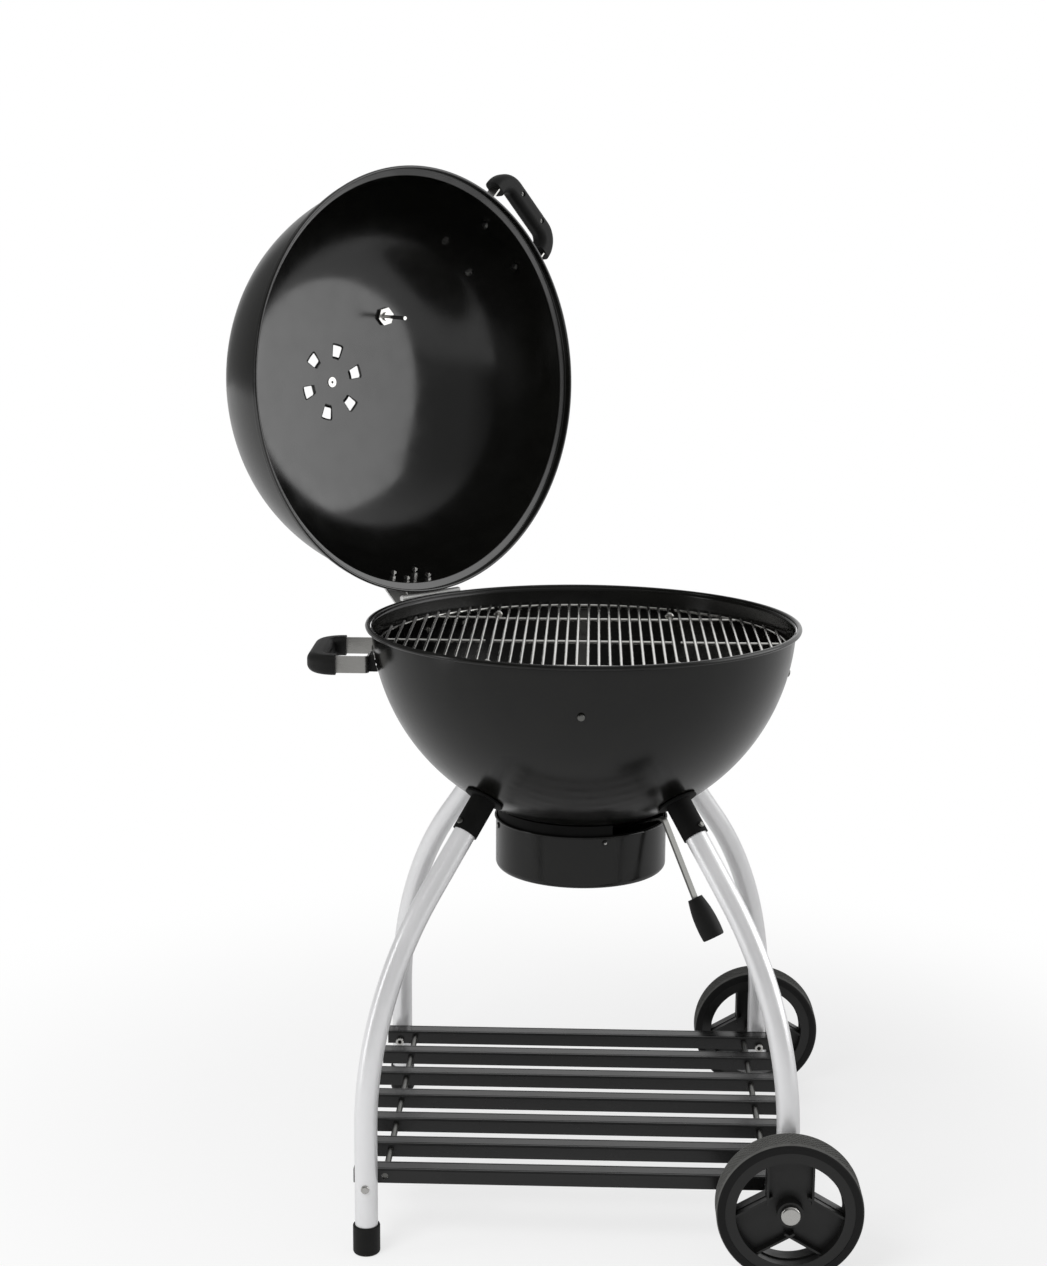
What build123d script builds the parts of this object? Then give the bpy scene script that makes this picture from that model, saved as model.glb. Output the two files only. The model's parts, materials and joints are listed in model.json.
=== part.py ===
from build123d import *
import os
from math import acos, asin, cos, degrees, radians, sin, sqrt, tan

# Kettle charcoal grill with its lid swung open, in millimetres.
# The origin is on the floor under the kettle's axis, +Z is up, +X runs along the shelf slats
# towards the wheels, and the front is at -Y.

# Kettle bowl
RIM_Z = 840.0            # height of the rim bead's middle above the floor
RIM_R = 315.0            # outer radius of the rim bead
BEAD = 3.75              # radius of the rolled bead
SHEET = 1.2              # enamelled steel sheet
BOWL_R = RIM_R - 2 * BEAD + 0.3
BOWL_SIDE = 307.0        # radius of the side's arc
BOWL_ANGLES = [-2.4, -49.7, -90.0]
SLOT_R = (36.0, 96.0)    # ash slots in the bottom
SLOT_WIDTH = 36.0        # degrees
SLOT_TURN = 30.0

# Lid
LID_WALL_R = 310.3
LID_LEDGE = 5.25         # foot of the lid's wall above the rim
SEAT_TOP = 5.85          # inner top edge of the conical seat above the rim
SEAT_LEAN = 12.0         # degrees that the seat falls outward
LID_ARCS = [285.0, 166.0]
LID_ANGLES = [4.3, 27.3, 82.9, 90.0]
SKIRT_R = 321.1
SKIRT_DROP = 6.5
SKIRT_BEAD = 2.3
LID_OPEN = 94.0          # degrees that the lid is swung open at rest
VENT_R = 50.0            # radius of the ring of vent holes
VENT_HOLE = (20.0, 15.0, 18.0)   # outer width, inner width, length along the radius
VENT_TURN = 32.0
VENT_COUNT = 6
DAMPER_R = 68.0
DAMPER_SHEET = 1.0
DAMPER_GAP = 0.35
VENT_RIVET_R = 4.0

# Hinge
HINGE_TURN = 136.5       # azimuth of the hinge
HINGE_R = 328.5
HINGE_LIFT = 0.9
KNUCKLE_R = 4.7
PIN_R = 2.5
LEAF = 2.5               # thickness of hinge leaves and handle strips
HINGE_HALF = 58.0
LID_KNUCKLES = (8.3, 37.7)
KETTLE_KNUCKLES = [(-58.0, -38.0), (-8.0, 8.0), (38.0, 58.0)]

# Handles
HANDLE_ARM = 69.0        # arms stand this far each side of the middle
HANDLE_STRIP_H = 24.5
HANDLE_BOLT = 45.0
FOOT_U = 305.0           # inner face of the strip's feet
GRIP_U = 381.0           # middle of the grip bar
GRIP_ENDS_U = 352.0
STRIP_U = 374.0          # middle of the strip inside the grip
GRIP_SECTION = (30.0, 29.0)
GRIP_ROUND = 11.0
GRIP_BEND = 27.0
GRIP_SCREW = (383.0, 29.0)
SIDE_HANDLE = (180.0, RIM_Z - 50.0, 0.0)      # azimuth, height, shift outward
LID_HANDLE = (3.5, RIM_Z + 38.0, 3.0)

# Legs, shelf and wheels
TUBE_R = 16.0
TUBE_WALL = 1.5
LEG_TILT = 40.8          # lean of the straight top of a leg from upright
LEG_ROOT = (197.5, -233.0)       # where a leg's line meets the bowl: radius, height from the rim
LEG_BEND = 483.0
LEG_FOOT = 290.5         # legs stand at plus and minus this in X and Y
SOCKET_R = 18.5
SOCKET_LENGTH = 48.0
SADDLE_R = 29.0
SLAT_COUNT = 7
SLAT_HALF = 310.0
SLAT_DEPTH = 29.0
SLAT_HEIGHT = 20.0
SLAT_TOP = 115.5
ROD_X = 266.0
ROD_R = 4.5
WHEEL_R = 100.0
WHEEL_WIDTH = 46.0
WHEEL_GAP = 6.0          # between a leg and its wheel
SHOULDER_R = 6.0
THREAD_R = 3.0
TYRE_INNER = 88.0
WHEEL_RING = 74.0
HUB_R = 18.0

# Ash pot, sweeper and lever
POT_R = 125.0
POT_TOP = RIM_Z - 285.3
POT_BOTTOM = RIM_Z - 361.8
POT_WALL = 1.0
STUD_TURN = 16.4
COLLAR_R = POT_R - 2.6
SHAFT_R = 6.0
LEVER_TURN = -32.0
LEVER_SIZE = (12.0, 3.0)
LEVER_KNEE_R = 140.0
LEVER_GRIP_TOP = (194.5, -378.0)
LEVER_GRIP_END = (227.0, -431.0)

# Grates
GRATE_R = 295.0
GRATE_Z = RIM_Z - 27.0
GRATE_RING = 2.5
GRATE_BAR = 2.25
BAR_PITCH = 15.4
BAR_LIFT = 4.3           # bars lie on the ring and sink into it a little
CENTRE_BARS = 9          # bars each side of the middle that stay with the centre
FLAP_BARS = 10
CROSSBAR_Y = 174.0
EYE_Y = 182.0
EYE_R = 4.75
EYE_WIRE = 2.0
EYE_START = 3.6          # a flap's crossbar starts this far from the pivot bar's middle
COAL_R = 226.0
COAL_Z = RIM_Z - 158.0
COAL_WIRE = 3.0
COAL_PITCH = 20.0

# Clearances
FIT = 0.05               # round a fixed fastener
RUN = 0.06               # running fit of a shaft
SEAT = 0.05              # between curved faces that touch

BASE = (Align.CENTER, Align.CENTER, Align.MIN)


def outward(azimuth):
    """Level unit direction at an azimuth."""
    return Vector(cos(radians(azimuth)), sin(radians(azimuth)), 0)


def around(azimuth):
    """Level unit direction along the circle at an azimuth."""
    return Vector(-sin(radians(azimuth)), cos(radians(azimuth)), 0)


def radial_plane(azimuth):
    """Upright plane through the kettle's axis: its x runs outward and its y runs up."""
    return Plane(origin=(0, 0, 0), x_dir=outward(azimuth), z_dir=-around(azimuth))


def turned(shape, azimuth):
    """Shape turned about the kettle's axis."""
    return shape.rotate(Axis.Z, azimuth)


def dome_arcs(start, angles, radii):
    """Tangent arcs from start to the axis, each (centre, radius, first, last).

    Angles are those of the outward normal above level. The last arc takes the radius that puts
    its centre on the axis."""
    arcs = []
    r, z = start
    for index in range(len(angles) - 1):
        first = radians(angles[index])
        last = radians(angles[index + 1])
        radius = radii[index] if index < len(radii) else r / cos(first)
        centre = (r - radius * cos(first), z - radius * sin(first))
        arcs.append((centre, radius, angles[index], angles[index + 1]))
        r = centre[0] + radius * cos(last)
        z = centre[1] + radius * sin(last)
    return arcs


def arc_point(arc, angle, offset=0.0):
    """Point (radius, height) of an arc at a normal angle, moved out along the normal."""
    (r, z), radius, _, _ = arc
    reach = radius + offset
    return (r + reach * cos(radians(angle)), z + reach * sin(radians(angle)))


def arc_edges(arcs, offset):
    """Edges of a profile of arcs, all moved out along the normal."""
    edges = []
    for arc in arcs:
        _, _, first, last = arc
        points = [arc_point(arc, angle, offset) for angle in (first, (first + last) / 2, last)]
        edges.append(ThreePointArc(*points))
    return edges


def band(arcs, inner, outer, sweep_angle=360.0):
    """Sheet between two offsets from a profile, swept round the axis from azimuth 0."""
    edges = arc_edges(arcs, inner) + arc_edges(arcs, outer)
    for arc, angle in ((arcs[0], arcs[0][2]), (arcs[-1], arcs[-1][3])):
        edges.append(Line(arc_point(arc, angle, inner), arc_point(arc, angle, outer)))
    return revolve(Plane.XZ * make_face(edges), Axis.Z, revolution_arc=sweep_angle)


def filled(arcs, offset):
    """Solid inside a profile, moved out by offset, that ends flat at the profile's start."""
    first = arc_point(arcs[0], arcs[0][2], offset)
    pole = arc_point(arcs[-1], arcs[-1][3], offset)
    edges = arc_edges(arcs, offset)
    edges.append(Line((0, pole[1]), (0, first[1])))
    edges.append(Line((0, first[1]), first))
    return revolve(Plane.XZ * make_face(edges), Axis.Z)


def piece_of(arc, first, last):
    """Stretch of one arc between two normal angles."""
    return [(arc[0], arc[1], first, last)]


def angle_at_height(arc, height):
    """Normal angle of an arc's point at a height."""
    return degrees(asin((height - arc[0][1]) / arc[1]))


def skin_plane(arc, azimuth, angle):
    """Plane that lies on a dome's outer face, with its normal pointing out."""
    r, z = arc_point(arc, angle)
    normal = outward(azimuth) * cos(radians(angle)) + Vector(0, 0, sin(radians(angle)))
    return Plane(origin=outward(azimuth) * r + Vector(0, 0, z), x_dir=around(azimuth), z_dir=normal)


BOWL_ARCS = dome_arcs((BOWL_R, RIM_Z), BOWL_ANGLES, [BOWL_SIDE])
LID_PROFILE = dome_arcs((LID_WALL_R, RIM_Z + LID_LEDGE), LID_ANGLES, LID_ARCS)
BOWL_BOTTOM = arc_point(BOWL_ARCS[-1], -90)[1]
LID_TOP = arc_point(LID_PROFILE[-1], 90)[1]
HINGE_POINT = outward(HINGE_TURN) * HINGE_R + Vector(0, 0, RIM_Z + HINGE_LIFT)
HINGE_AXIS = Axis(HINGE_POINT, around(HINGE_TURN))


def opened(shape):
    """Lid piece swung from closed to its rest, wide open."""
    return shape.rotate(HINGE_AXIS, LID_OPEN)


def rod(radius, start, end):
    """Round bar along Z between two heights."""
    return Pos(0, 0, (start + end) / 2) * Cylinder(radius, end - start)


def tube(outer, inner, start, end):
    """Round tube along Z between two heights."""
    return rod(outer, start, end) - rod(inner, start - 1, end + 1)


def sector(inner, outer, low, high, first, width):
    """Part of a flat ring about the Z axis, from azimuth first over width degrees."""
    section = Pos((inner + outer) / 2, (low + high) / 2) * Rectangle(outer - inner, high - low)
    return turned(revolve(Plane.XZ * section, Axis.Z, revolution_arc=width), first)


def domed(radius, height):
    """Domed bolt head that stands on the plane z = 0."""
    head = Cylinder(radius, height, align=BASE)
    return fillet(head.edges().group_by(Axis.Z)[-1], 0.7 * height)


def bolt(shank, length, head, height):
    """Bolt with its domed head above the plane z = 0 and its shank below it."""
    return domed(head, height) + rod(shank, -length, 0.5)


def nut(shank, radius, height, top):
    """Six-sided nut on a shank, with its upper face at a height."""
    ring = RegularPolygon(radius, 6) - Circle(shank + FIT)
    return Pos(0, 0, top - height) * extrude(ring, height)


def bent_strip(points, bend, thick, first, last, azimuth):
    """Flat bar bent in a radial plane along (radius, height) points.

    Its width runs level, from first to last along the circle."""
    plane = radial_plane(azimuth)
    places = [plane.from_local_coords((r, z, 0)) for r, z in points]
    path = FilletPolyline(*places, radius=bend)
    start = Plane(origin=path @ 0, x_dir=around(azimuth), z_dir=path % 0)
    section = start * Pos((first + last) / 2, 0) * Rectangle(last - first, thick)
    return sweep(section, path=path)


def group(solids):
    """Several separate solids of one node."""
    return Compound(children=list(solids))


# Fasteners in the bowl and the lid: planes on the skin, normals out
BRACKET_TURNS = (0.0, 90.0, 180.0, 270.0)
BRACKET_BOLT_Z = RIM_Z - 69.0
BRACKET_BOLT_R = 3.0
HINGE_BOLT_R = 3.0
HANDLE_BOLT_R = 3.0
KETTLE_HINGE_BOLT = (38.0, -48.0)
LID_HINGE_BOLTS = [(22.0, 31.0), (22.0, 62.0)]
bracket_planes = []
for turn in BRACKET_TURNS:
    bracket_planes.append(skin_plane(BOWL_ARCS[0], turn, angle_at_height(BOWL_ARCS[0], BRACKET_BOLT_Z)))


def handle_frame(handle):
    """Plane at a handle's height: x runs outward through its middle, y along the rim."""
    turn, height, shift = handle
    place = outward(turn) * shift + Vector(0, 0, height)
    return Plane(origin=place, x_dir=outward(turn), z_dir=(0, 0, 1))


def handle_bolt_planes(handle):
    """Planes on the outer face of a handle's feet, normals out."""
    turn, height, shift = handle
    planes = []
    for side in (-1, 1):
        place = outward(turn) * (FOOT_U + LEAF + shift) + around(turn) * side * HANDLE_BOLT
        planes.append(Plane(origin=place + Vector(0, 0, height), x_dir=around(turn), z_dir=outward(turn)))
    return planes


# Kettle bowl
def kettle_bowl():
    shell = band(BOWL_ARCS, -SHEET, 0)
    bead = Pos(0, 0, RIM_Z) * Torus(RIM_R - BEAD, BEAD)
    holes = [rod(SHAFT_R + RUN, BOWL_BOTTOM - 5, BOWL_BOTTOM + 10)]
    for index in range(3):
        first = SLOT_TURN + 120 * index - SLOT_WIDTH / 2
        holes.append(sector(*SLOT_R, BOWL_BOTTOM - 5, BOWL_BOTTOM + 40, first, SLOT_WIDTH))
    for plane in bracket_planes:
        holes.append(plane * rod(BRACKET_BOLT_R + FIT, -20, 20))
    for plane in handle_bolt_planes(SIDE_HANDLE):
        holes.append(plane * rod(HANDLE_BOLT_R + FIT, -30, 5))
    for plane in kettle_hinge_bolt_planes():
        holes.append(plane * rod(HINGE_BOLT_R + FIT, -30, 5))
    return (shell + bead) - holes


# Leg tubes, their sockets and ends
LEG_DIR = (sin(radians(LEG_TILT)), -cos(radians(LEG_TILT)))
LEG_FOOT_R = LEG_FOOT * sqrt(2)
LEG_TOP_RUN = (LEG_FOOT_R - LEG_BEND * (1 + LEG_DIR[1]) - LEG_ROOT[0]) / LEG_DIR[0]
LEG_AZIMUTHS = {"front_left": -135.0, "front_right": -45.0, "rear_left": 135.0, "rear_right": 45.0}
LEG_START = 4.0          # gap from the bowl to the tube's end
AXLE_Z = WHEEL_R
FOOT_END = 10.0          # a left tube stops this far above the floor
PLUG_END = 76.0          # a right tube stops just under its wheel bolt
FOOT_R = 19.0
FOOT_HEIGHT = 42.0


def leg_point(distance):
    """Point (radius, height) on the straight top of a leg."""
    return (LEG_ROOT[0] + LEG_DIR[0] * distance, RIM_Z + LEG_ROOT[1] + LEG_DIR[1] * distance)


def leg_plane(azimuth, distance=0.0):
    """Plane square to a leg's straight top, its normal down the leg, its y level."""
    r, z = leg_point(distance)
    along = outward(azimuth) * LEG_DIR[0] + Vector(0, 0, LEG_DIR[1])
    rise = outward(azimuth) * -LEG_DIR[1] + Vector(0, 0, LEG_DIR[0])
    return Plane(origin=outward(azimuth) * r + Vector(0, 0, z), x_dir=rise, z_dir=along)


def leg_path(azimuth, end):
    """Straight, one tangent bend to upright, straight down to a height."""
    plane = radial_plane(azimuth)
    tilt = radians(LEG_TILT)
    bend_start = leg_point(LEG_TOP_RUN)
    bend_z = bend_start[1] - LEG_BEND * sin(tilt)
    centre_r = LEG_FOOT_R - LEG_BEND
    bend_mid = (centre_r + LEG_BEND * cos(tilt / 2), bend_z + LEG_BEND * sin(tilt / 2))
    places = [leg_point(LEG_START), bend_start, bend_mid, (LEG_FOOT_R, bend_z), (LEG_FOOT_R, end)]
    a, b, c, d, e = [plane.from_local_coords((r, z, 0)) for r, z in places]
    return Line(a, b) + ThreePointArc(b, c, d) + Line(d, e)


def leg(azimuth, end):
    path = leg_path(azimuth, end)
    start = Plane(origin=path @ 0, z_dir=path % 0)
    section = start * (Circle(TUBE_R) - Circle(TUBE_R - TUBE_WALL))
    return sweep(section, path=path)


def socket_screw_plane(azimuth):
    """Plane on the upper side of a sleeve near its end."""
    plane = leg_plane(azimuth, SOCKET_LENGTH - 9)
    place = plane.origin + plane.x_dir * SOCKET_R
    return Plane(origin=place, x_dir=plane.z_dir, z_dir=plane.x_dir)


def leg_socket(azimuth):
    """Sleeve with a saddle flange, both cut to the bowl's curve."""
    plane = leg_plane(azimuth)
    flange = (plane * rod(SADDLE_R, -20, 20)) & filled(BOWL_ARCS, 2.4)
    sleeve = plane * rod(SOCKET_R, -12, SOCKET_LENGTH)
    body = (flange + sleeve) - filled(BOWL_ARCS, SEAT)
    bore = plane * rod(TUBE_R + 0.2, 2.0, SOCKET_LENGTH + 1)
    return body - bore - socket_screw_plane(azimuth) * rod(2.5 + FIT, -6, 6)


def foot_cap(x, y):
    """Foot that caps a tube's end and stands on the floor."""
    body = Cylinder(FOOT_R, FOOT_HEIGHT, align=BASE)
    body = fillet(body.edges().group_by(Axis.Z)[-1], 2.0)
    body = fillet(body.edges().group_by(Axis.Z)[0], 4.0)
    return Pos(x, y, 0) * (body - rod(TUBE_R + FIT, FOOT_END - 0.2, FOOT_HEIGHT + 1))


def tube_plug(x, y):
    """Plug in the open end of a tube: a flat button with a spigot."""
    button = fillet(Cylinder(TUBE_R, 3, align=BASE).edges().group_by(Axis.Z)[0], 1.5)
    spigot = rod(TUBE_R - TUBE_WALL - FIT, 2, 15)
    return Pos(x, y, PLUG_END - 3 - SEAT) * (button + spigot)


def leg_end_caps():
    caps = [foot_cap(-LEG_FOOT, side * LEG_FOOT) for side in (-1, 1)]
    plugs = [tube_plug(LEG_FOOT, side * LEG_FOOT) for side in (-1, 1)]
    return group(caps + plugs)


# Shelf of slats between the legs
SLAT_Y = LEG_FOOT - TUBE_R - SEAT - SLAT_DEPTH / 2      # middle of the end slats
SLAT_WALL = 2.5
SLAT_ROUND = 2.5
SLAT_GROOVE = (1.6, 1.0, 5.0)    # width, depth, distance from the slat's edge
ROD_Z = SLAT_TOP - SLAT_HEIGHT / 2


def across(side, x, z):
    """Plane at a point of the outer face of a leg, its normal along Y away from the shelf."""
    return Plane(origin=(x, side * (LEG_FOOT + TUBE_R), z), x_dir=(1, 0, 0), z_dir=(0, side, 0))


def slat(index):
    """Moulded slat: a channel open below, with grooves along its top edges."""
    y = SLAT_Y - 2 * SLAT_Y * index / (SLAT_COUNT - 1)
    block = Box(2 * SLAT_HALF, SLAT_DEPTH, SLAT_HEIGHT)
    block = fillet(block.edges().filter_by(Axis.X).group_by(Axis.Z)[-1], SLAT_ROUND)
    inside = Box(2 * (SLAT_HALF - SLAT_WALL), SLAT_DEPTH - 2 * SLAT_WALL, SLAT_HEIGHT - SLAT_WALL)
    block -= Pos(0, 0, -SLAT_WALL / 2 - 0.01) * inside
    width, depth, edge = SLAT_GROOVE
    for side in (-1, 1):
        groove_y = side * (SLAT_DEPTH / 2 - edge)
        block -= Pos(0, groove_y, SLAT_HEIGHT / 2) * Box(2 * SLAT_HALF, width, 2 * depth)
    block = Pos(0, y, ROD_Z) * block
    for side in (-1, 1):
        block -= Pos(side * ROD_X, y, ROD_Z) * Rot(90, 0, 0) * rod(ROD_R + FIT, -SLAT_DEPTH, SLAT_DEPTH)
    if index in (0, SLAT_COUNT - 1):
        end = 1 if index == 0 else -1
        for x in (-LEG_FOOT, LEG_FOOT):
            block -= across(end, x, AXLE_Z) * rod(THREAD_R + FIT, -80, 5)
    return block


def shelf_rods():
    rods = []
    for side in (-1, 1):
        bar = Rot(90, 0, 0) * rod(ROD_R, -SLAT_Y - 12, SLAT_Y + 12)
        rods.append(Pos(side * ROD_X, 0, ROD_Z) * bar)
    return group(rods)


SLAT_FACE = 2 * TUBE_R + SLAT_DEPTH + 2 * SEAT          # from a leg's outer face to the slat's inner face


def round_nut(radius, height, bore):
    """Round socket nut: a low barrel with a six-sided recess, on the plane z = 0."""
    barrel = Cylinder(radius, height, align=BASE)
    barrel = fillet(barrel.edges().group_by(Axis.Z)[-1], 1.0)
    recess = Pos(0, 0, height - 2) * extrude(RegularPolygon(radius * 0.55, 6), 3)
    return barrel - recess - rod(bore + FIT, -1, height - 3)


def inner_face(side, x):
    """Plane on an end slat's inner face at a bolt, its normal towards the shelf's middle."""
    y = side * (LEG_FOOT + TUBE_R - SLAT_FACE)
    return Plane(origin=(x, y, AXLE_Z), x_dir=(1, 0, 0), z_dir=(0, -side, 0))


def wheel_nuts():
    return group(inner_face(side, LEG_FOOT) * round_nut(6.5, 7, THREAD_R) for side in (-1, 1))


def wheel_bolts():
    """Shoulder bolts: thread through slat and leg, shoulder under the wheel, low head outside."""
    bolts = []
    reach = WHEEL_GAP + WHEEL_WIDTH + 0.5
    for side in (-1, 1):
        body = rod(THREAD_R, -SLAT_FACE - 3.5, 1) + rod(SHOULDER_R, 0, reach + 1)
        body += rod(SHOULDER_R + 4, 0, WHEEL_GAP - 0.4)
        body += Pos(0, 0, reach) * domed(14, 6)
        bolts.append(across(side, LEG_FOOT, AXLE_Z) * body)
    return group(bolts)


def shelf_screws():
    """Screws through the left legs into round nuts on the end slats."""
    screws = []
    for side in (-1, 1):
        screws.append(across(side, -LEG_FOOT, AXLE_Z) * bolt(THREAD_R, SLAT_FACE + 3.5, 6, 3.5))
        screws.append(inner_face(side, -LEG_FOOT) * round_nut(6.5, 7, THREAD_R))
    return group(screws)


# Wheels
WEB = 9.0
WEB_HALF = 33.0          # half the width of the three parallel-sided webs
WINDOW_R = 72.0
WINDOW_ROUND = 4.0
RIB = 3.0                # thickness of the ribs along the webs' edges
RIB_INSET = 1.0          # from a web's edge to its rib
RIB_LAP = 9.0            # neighbouring ribs run into each other by this
TREAD_GROOVES = 9


def wheel_plane(side):
    """Plane through a wheel's middle, its normal away from the leg."""
    y = side * (LEG_FOOT + TUBE_R + WHEEL_GAP + WHEEL_WIDTH / 2)
    return Plane(origin=(LEG_FOOT, y, AXLE_Z), x_dir=(1, 0, 0), z_dir=(0, side, 0))


def wheel(side):
    """Moulded wheel: ring, hub and three wide webs, ribbed along their edges, with windows between."""
    half = WHEEL_WIDTH / 2
    body = tube(TYRE_INNER, WHEEL_RING, -half + 2, half - 2)
    body += rod(WHEEL_RING + 1, -WEB / 2, WEB / 2)
    body += rod(HUB_R, -half, half)
    windows = rod(WINDOW_R, -half, half)
    rib_start = WEB_HALF / sqrt(3) - RIB_LAP
    rib_length = WHEEL_RING - 2 - rib_start
    for index in range(3):
        web_turn = Rot(0, 0, -side * 90 + 120 * index)
        windows -= web_turn * Pos(WHEEL_R / 2, 0, 0) * Box(WHEEL_R, 2 * WEB_HALF, WHEEL_WIDTH + 2)
        for edge in (-1, 1):
            middle = Pos(rib_start + rib_length / 2, edge * (WEB_HALF - RIB_INSET - RIB / 2), 0)
            body += web_turn * middle * Box(rib_length, RIB, WHEEL_WIDTH - 14)
    for window in windows.solids():
        body -= fillet(window.edges().filter_by(Axis.Z), WINDOW_ROUND)
    body -= rod(SHOULDER_R + RUN, -half - 1, half + 1)
    return wheel_plane(side) * body


def tyre(side):
    """Rubber tread ring with grooves round it."""
    half = WHEEL_WIDTH / 2 - 1
    ring = tube(WHEEL_R, TYRE_INNER + FIT, -half, half)
    outer_edges = ring.edges().filter_by(GeomType.CIRCLE).sort_by(SortBy.RADIUS)[-2:]
    ring = fillet(outer_edges, 5)
    for index in range(TREAD_GROOVES):
        z = (index - (TREAD_GROOVES - 1) / 2) * 3.6
        ring -= tube(WHEEL_R + 1, WHEEL_R - 1.2, z - 0.6, z + 0.6)
    return wheel_plane(side) * ring


# Ash pot and the collar that carries it
COLLAR_SHEET = 1.3
COLLAR_LOW = POT_TOP - 11.0
STUD_Z = POT_TOP - 8.5
STUD_R = 2.0
STUD_SLOT = 2.6
LEVER_WINDOW = (-36.0, 42.0)     # degrees each side of the lever's rest
WINDOW_LOW = POT_TOP + 1.5


def stud_plane(index):
    """Plane on the pot's outer face at a stud, its normal out."""
    turn = STUD_TURN + 90 * index
    return Plane(origin=outward(turn) * POT_R + Vector(0, 0, STUD_Z), x_dir=around(turn), z_dir=outward(turn))


def pot_collar():
    """Ring under the bowl: notches for the studs and a window for the lever."""
    ring = tube(COLLAR_R, COLLAR_R - COLLAR_SHEET, COLLAR_LOW, RIM_Z - 200) - filled(BOWL_ARCS, SEAT)
    first = LEVER_TURN + LEVER_WINDOW[0]
    width = LEVER_WINDOW[1] - LEVER_WINDOW[0]
    ring -= sector(COLLAR_R - 5, COLLAR_R + 5, WINDOW_LOW, RIM_Z - 200, first, width)
    for index in range(4):
        notch = Pos(0, STUD_SLOT - 10, 0) * Box(2 * STUD_SLOT, 20, 30)
        ring -= stud_plane(index) * notch
    return ring


def ash_pot():
    """Deep pot with a rolled rim and four bayonet studs riveted through its wall."""
    outside = Pos(0, 0, POT_BOTTOM) * Cylinder(POT_R, POT_TOP - POT_BOTTOM, align=BASE)
    outside = fillet(outside.edges().group_by(Axis.Z)[0], 9)
    inner_r = POT_R - POT_WALL
    inside = Pos(0, 0, POT_BOTTOM + POT_WALL) * Cylinder(inner_r, POT_TOP - POT_BOTTOM, align=BASE)
    inside = fillet(inside.edges().group_by(Axis.Z)[0], 8)
    body = outside - inside
    body += Pos(0, 0, POT_TOP) * Torus(POT_R + 0.6, 1.6)
    for index in range(4):
        pin = domed(4.5, 2.2) + rod(STUD_R, -POT_R + COLLAR_R - COLLAR_SHEET - 0.8, 0.5)
        body += stud_plane(index) * Pos(0, 0, -0.2) * pin
    return body


# Sweeper inside the bowl, and the lever that turns it
CROWN = BOWL_ARCS[-1]
BLADE_GAP = 0.5
BLADE_SHEET = 1.8
BLADE_R = 106.0
BLADE_WIDTH = 44.0
SWEEP_HUB_R = 16.0
STRIP_GAP = 4.0
SHAFT_LOW = BOWL_BOTTOM - 13.0


def crown_angle(radius, offset):
    """Normal angle of the bowl's crown, moved out by offset, at a radius."""
    return -degrees(acos(radius / (CROWN[1] + offset)))


def sweeper():
    """Shaft and hub with three curved blades that ride just above the bowl."""
    top = BOWL_BOTTOM + SHEET + BLADE_GAP
    body = rod(SHAFT_R, SHAFT_LOW, top + 4) + rod(SWEEP_HUB_R, top + 0.4, top + 9)
    offset = -SHEET - BLADE_GAP
    first = crown_angle(BLADE_R, offset)
    last = crown_angle(SWEEP_HUB_R - 4, offset)
    for index in range(3):
        blade = band(piece_of(CROWN, first, last), offset - BLADE_SHEET, offset, BLADE_WIDTH)
        body += turned(blade, SLOT_TURN + 60 + 120 * index - BLADE_WIDTH / 2)
    return body


def lever_points():
    """Radius and height of the lever's bends: flat under the shaft, up the bowl, down to the grip."""
    offset = STRIP_GAP + LEVER_SIZE[1] / 2
    knee = arc_point(CROWN, crown_angle(LEVER_KNEE_R, offset), offset)
    shoulder = arc_point(CROWN, crown_angle(LEVER_KNEE_R * 0.5, offset + 2), offset + 2)
    hub_z = BOWL_BOTTOM - STRIP_GAP - LEVER_SIZE[1] / 2 - 0.5
    grip_top = (LEVER_GRIP_TOP[0], RIM_Z + LEVER_GRIP_TOP[1])
    return [(-9, hub_z), (30, hub_z), shoulder, knee, grip_top]


def lever_axis():
    """Plane at the grip's top, its normal down along the lever."""
    r, z = LEVER_GRIP_TOP
    end_r, end_z = LEVER_GRIP_END
    along = outward(LEVER_TURN) * (end_r - r) + Vector(0, 0, end_z - z)
    place = outward(LEVER_TURN) * r + Vector(0, 0, RIM_Z + z)
    return Plane(origin=place, x_dir=around(LEVER_TURN), z_dir=along)


def air_lever():
    """Flat bar from the shaft out under the bowl and down, with a tongue inside the grip."""
    width, thick = LEVER_SIZE
    bar = bent_strip(lever_points(), 8, thick, -width / 2, width / 2, LEVER_TURN)
    tongue = lever_axis() * Pos(0, 0, 20) * Box(width, thick, 44)
    boss_z = lever_points()[0][1]
    boss = rod(12, boss_z - thick / 2, boss_z + thick / 2)
    return bar + tongue + boss - rod(SHAFT_R + FIT, boss_z - 10, boss_z + 10)


def lever_grip():
    """Moulded grip, a barrel with a flat end, slotted for the lever."""
    length = sqrt((LEVER_GRIP_END[0] - LEVER_GRIP_TOP[0]) ** 2 + (LEVER_GRIP_END[1] - LEVER_GRIP_TOP[1]) ** 2)
    bulge = [(10.9, 0), (14.8, 0.3 * length), (16.7, 0.65 * length), (15.9, length)]
    outline = Spline(*bulge, tangents=((0.22, 1), (-0.12, 1)))
    edges = [outline, Line((0, 0), bulge[0]), Line((0, 0), (0, length)), Line((0, length), bulge[-1])]
    body = revolve(Plane.XZ * make_face(edges), Axis.Z)
    body = fillet(body.edges().group_by(Axis.Z)[-1], 2)
    width, thick = LEVER_SIZE
    slot = Pos(0, 0, 20) * Box(width + 2 * FIT, thick + 2 * FIT, 44 + 2 * FIT)
    neck = lever_axis() * (body - slot)
    return neck - bent_strip(lever_points(), 8, thick + 0.3, -width / 2 - 0.15, width / 2 + 0.15, LEVER_TURN)


def shaft_nut():
    low = lever_points()[0][1] - LEVER_SIZE[1] / 2 - SEAT
    return nut(SHAFT_R, 11, 5, low)


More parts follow.
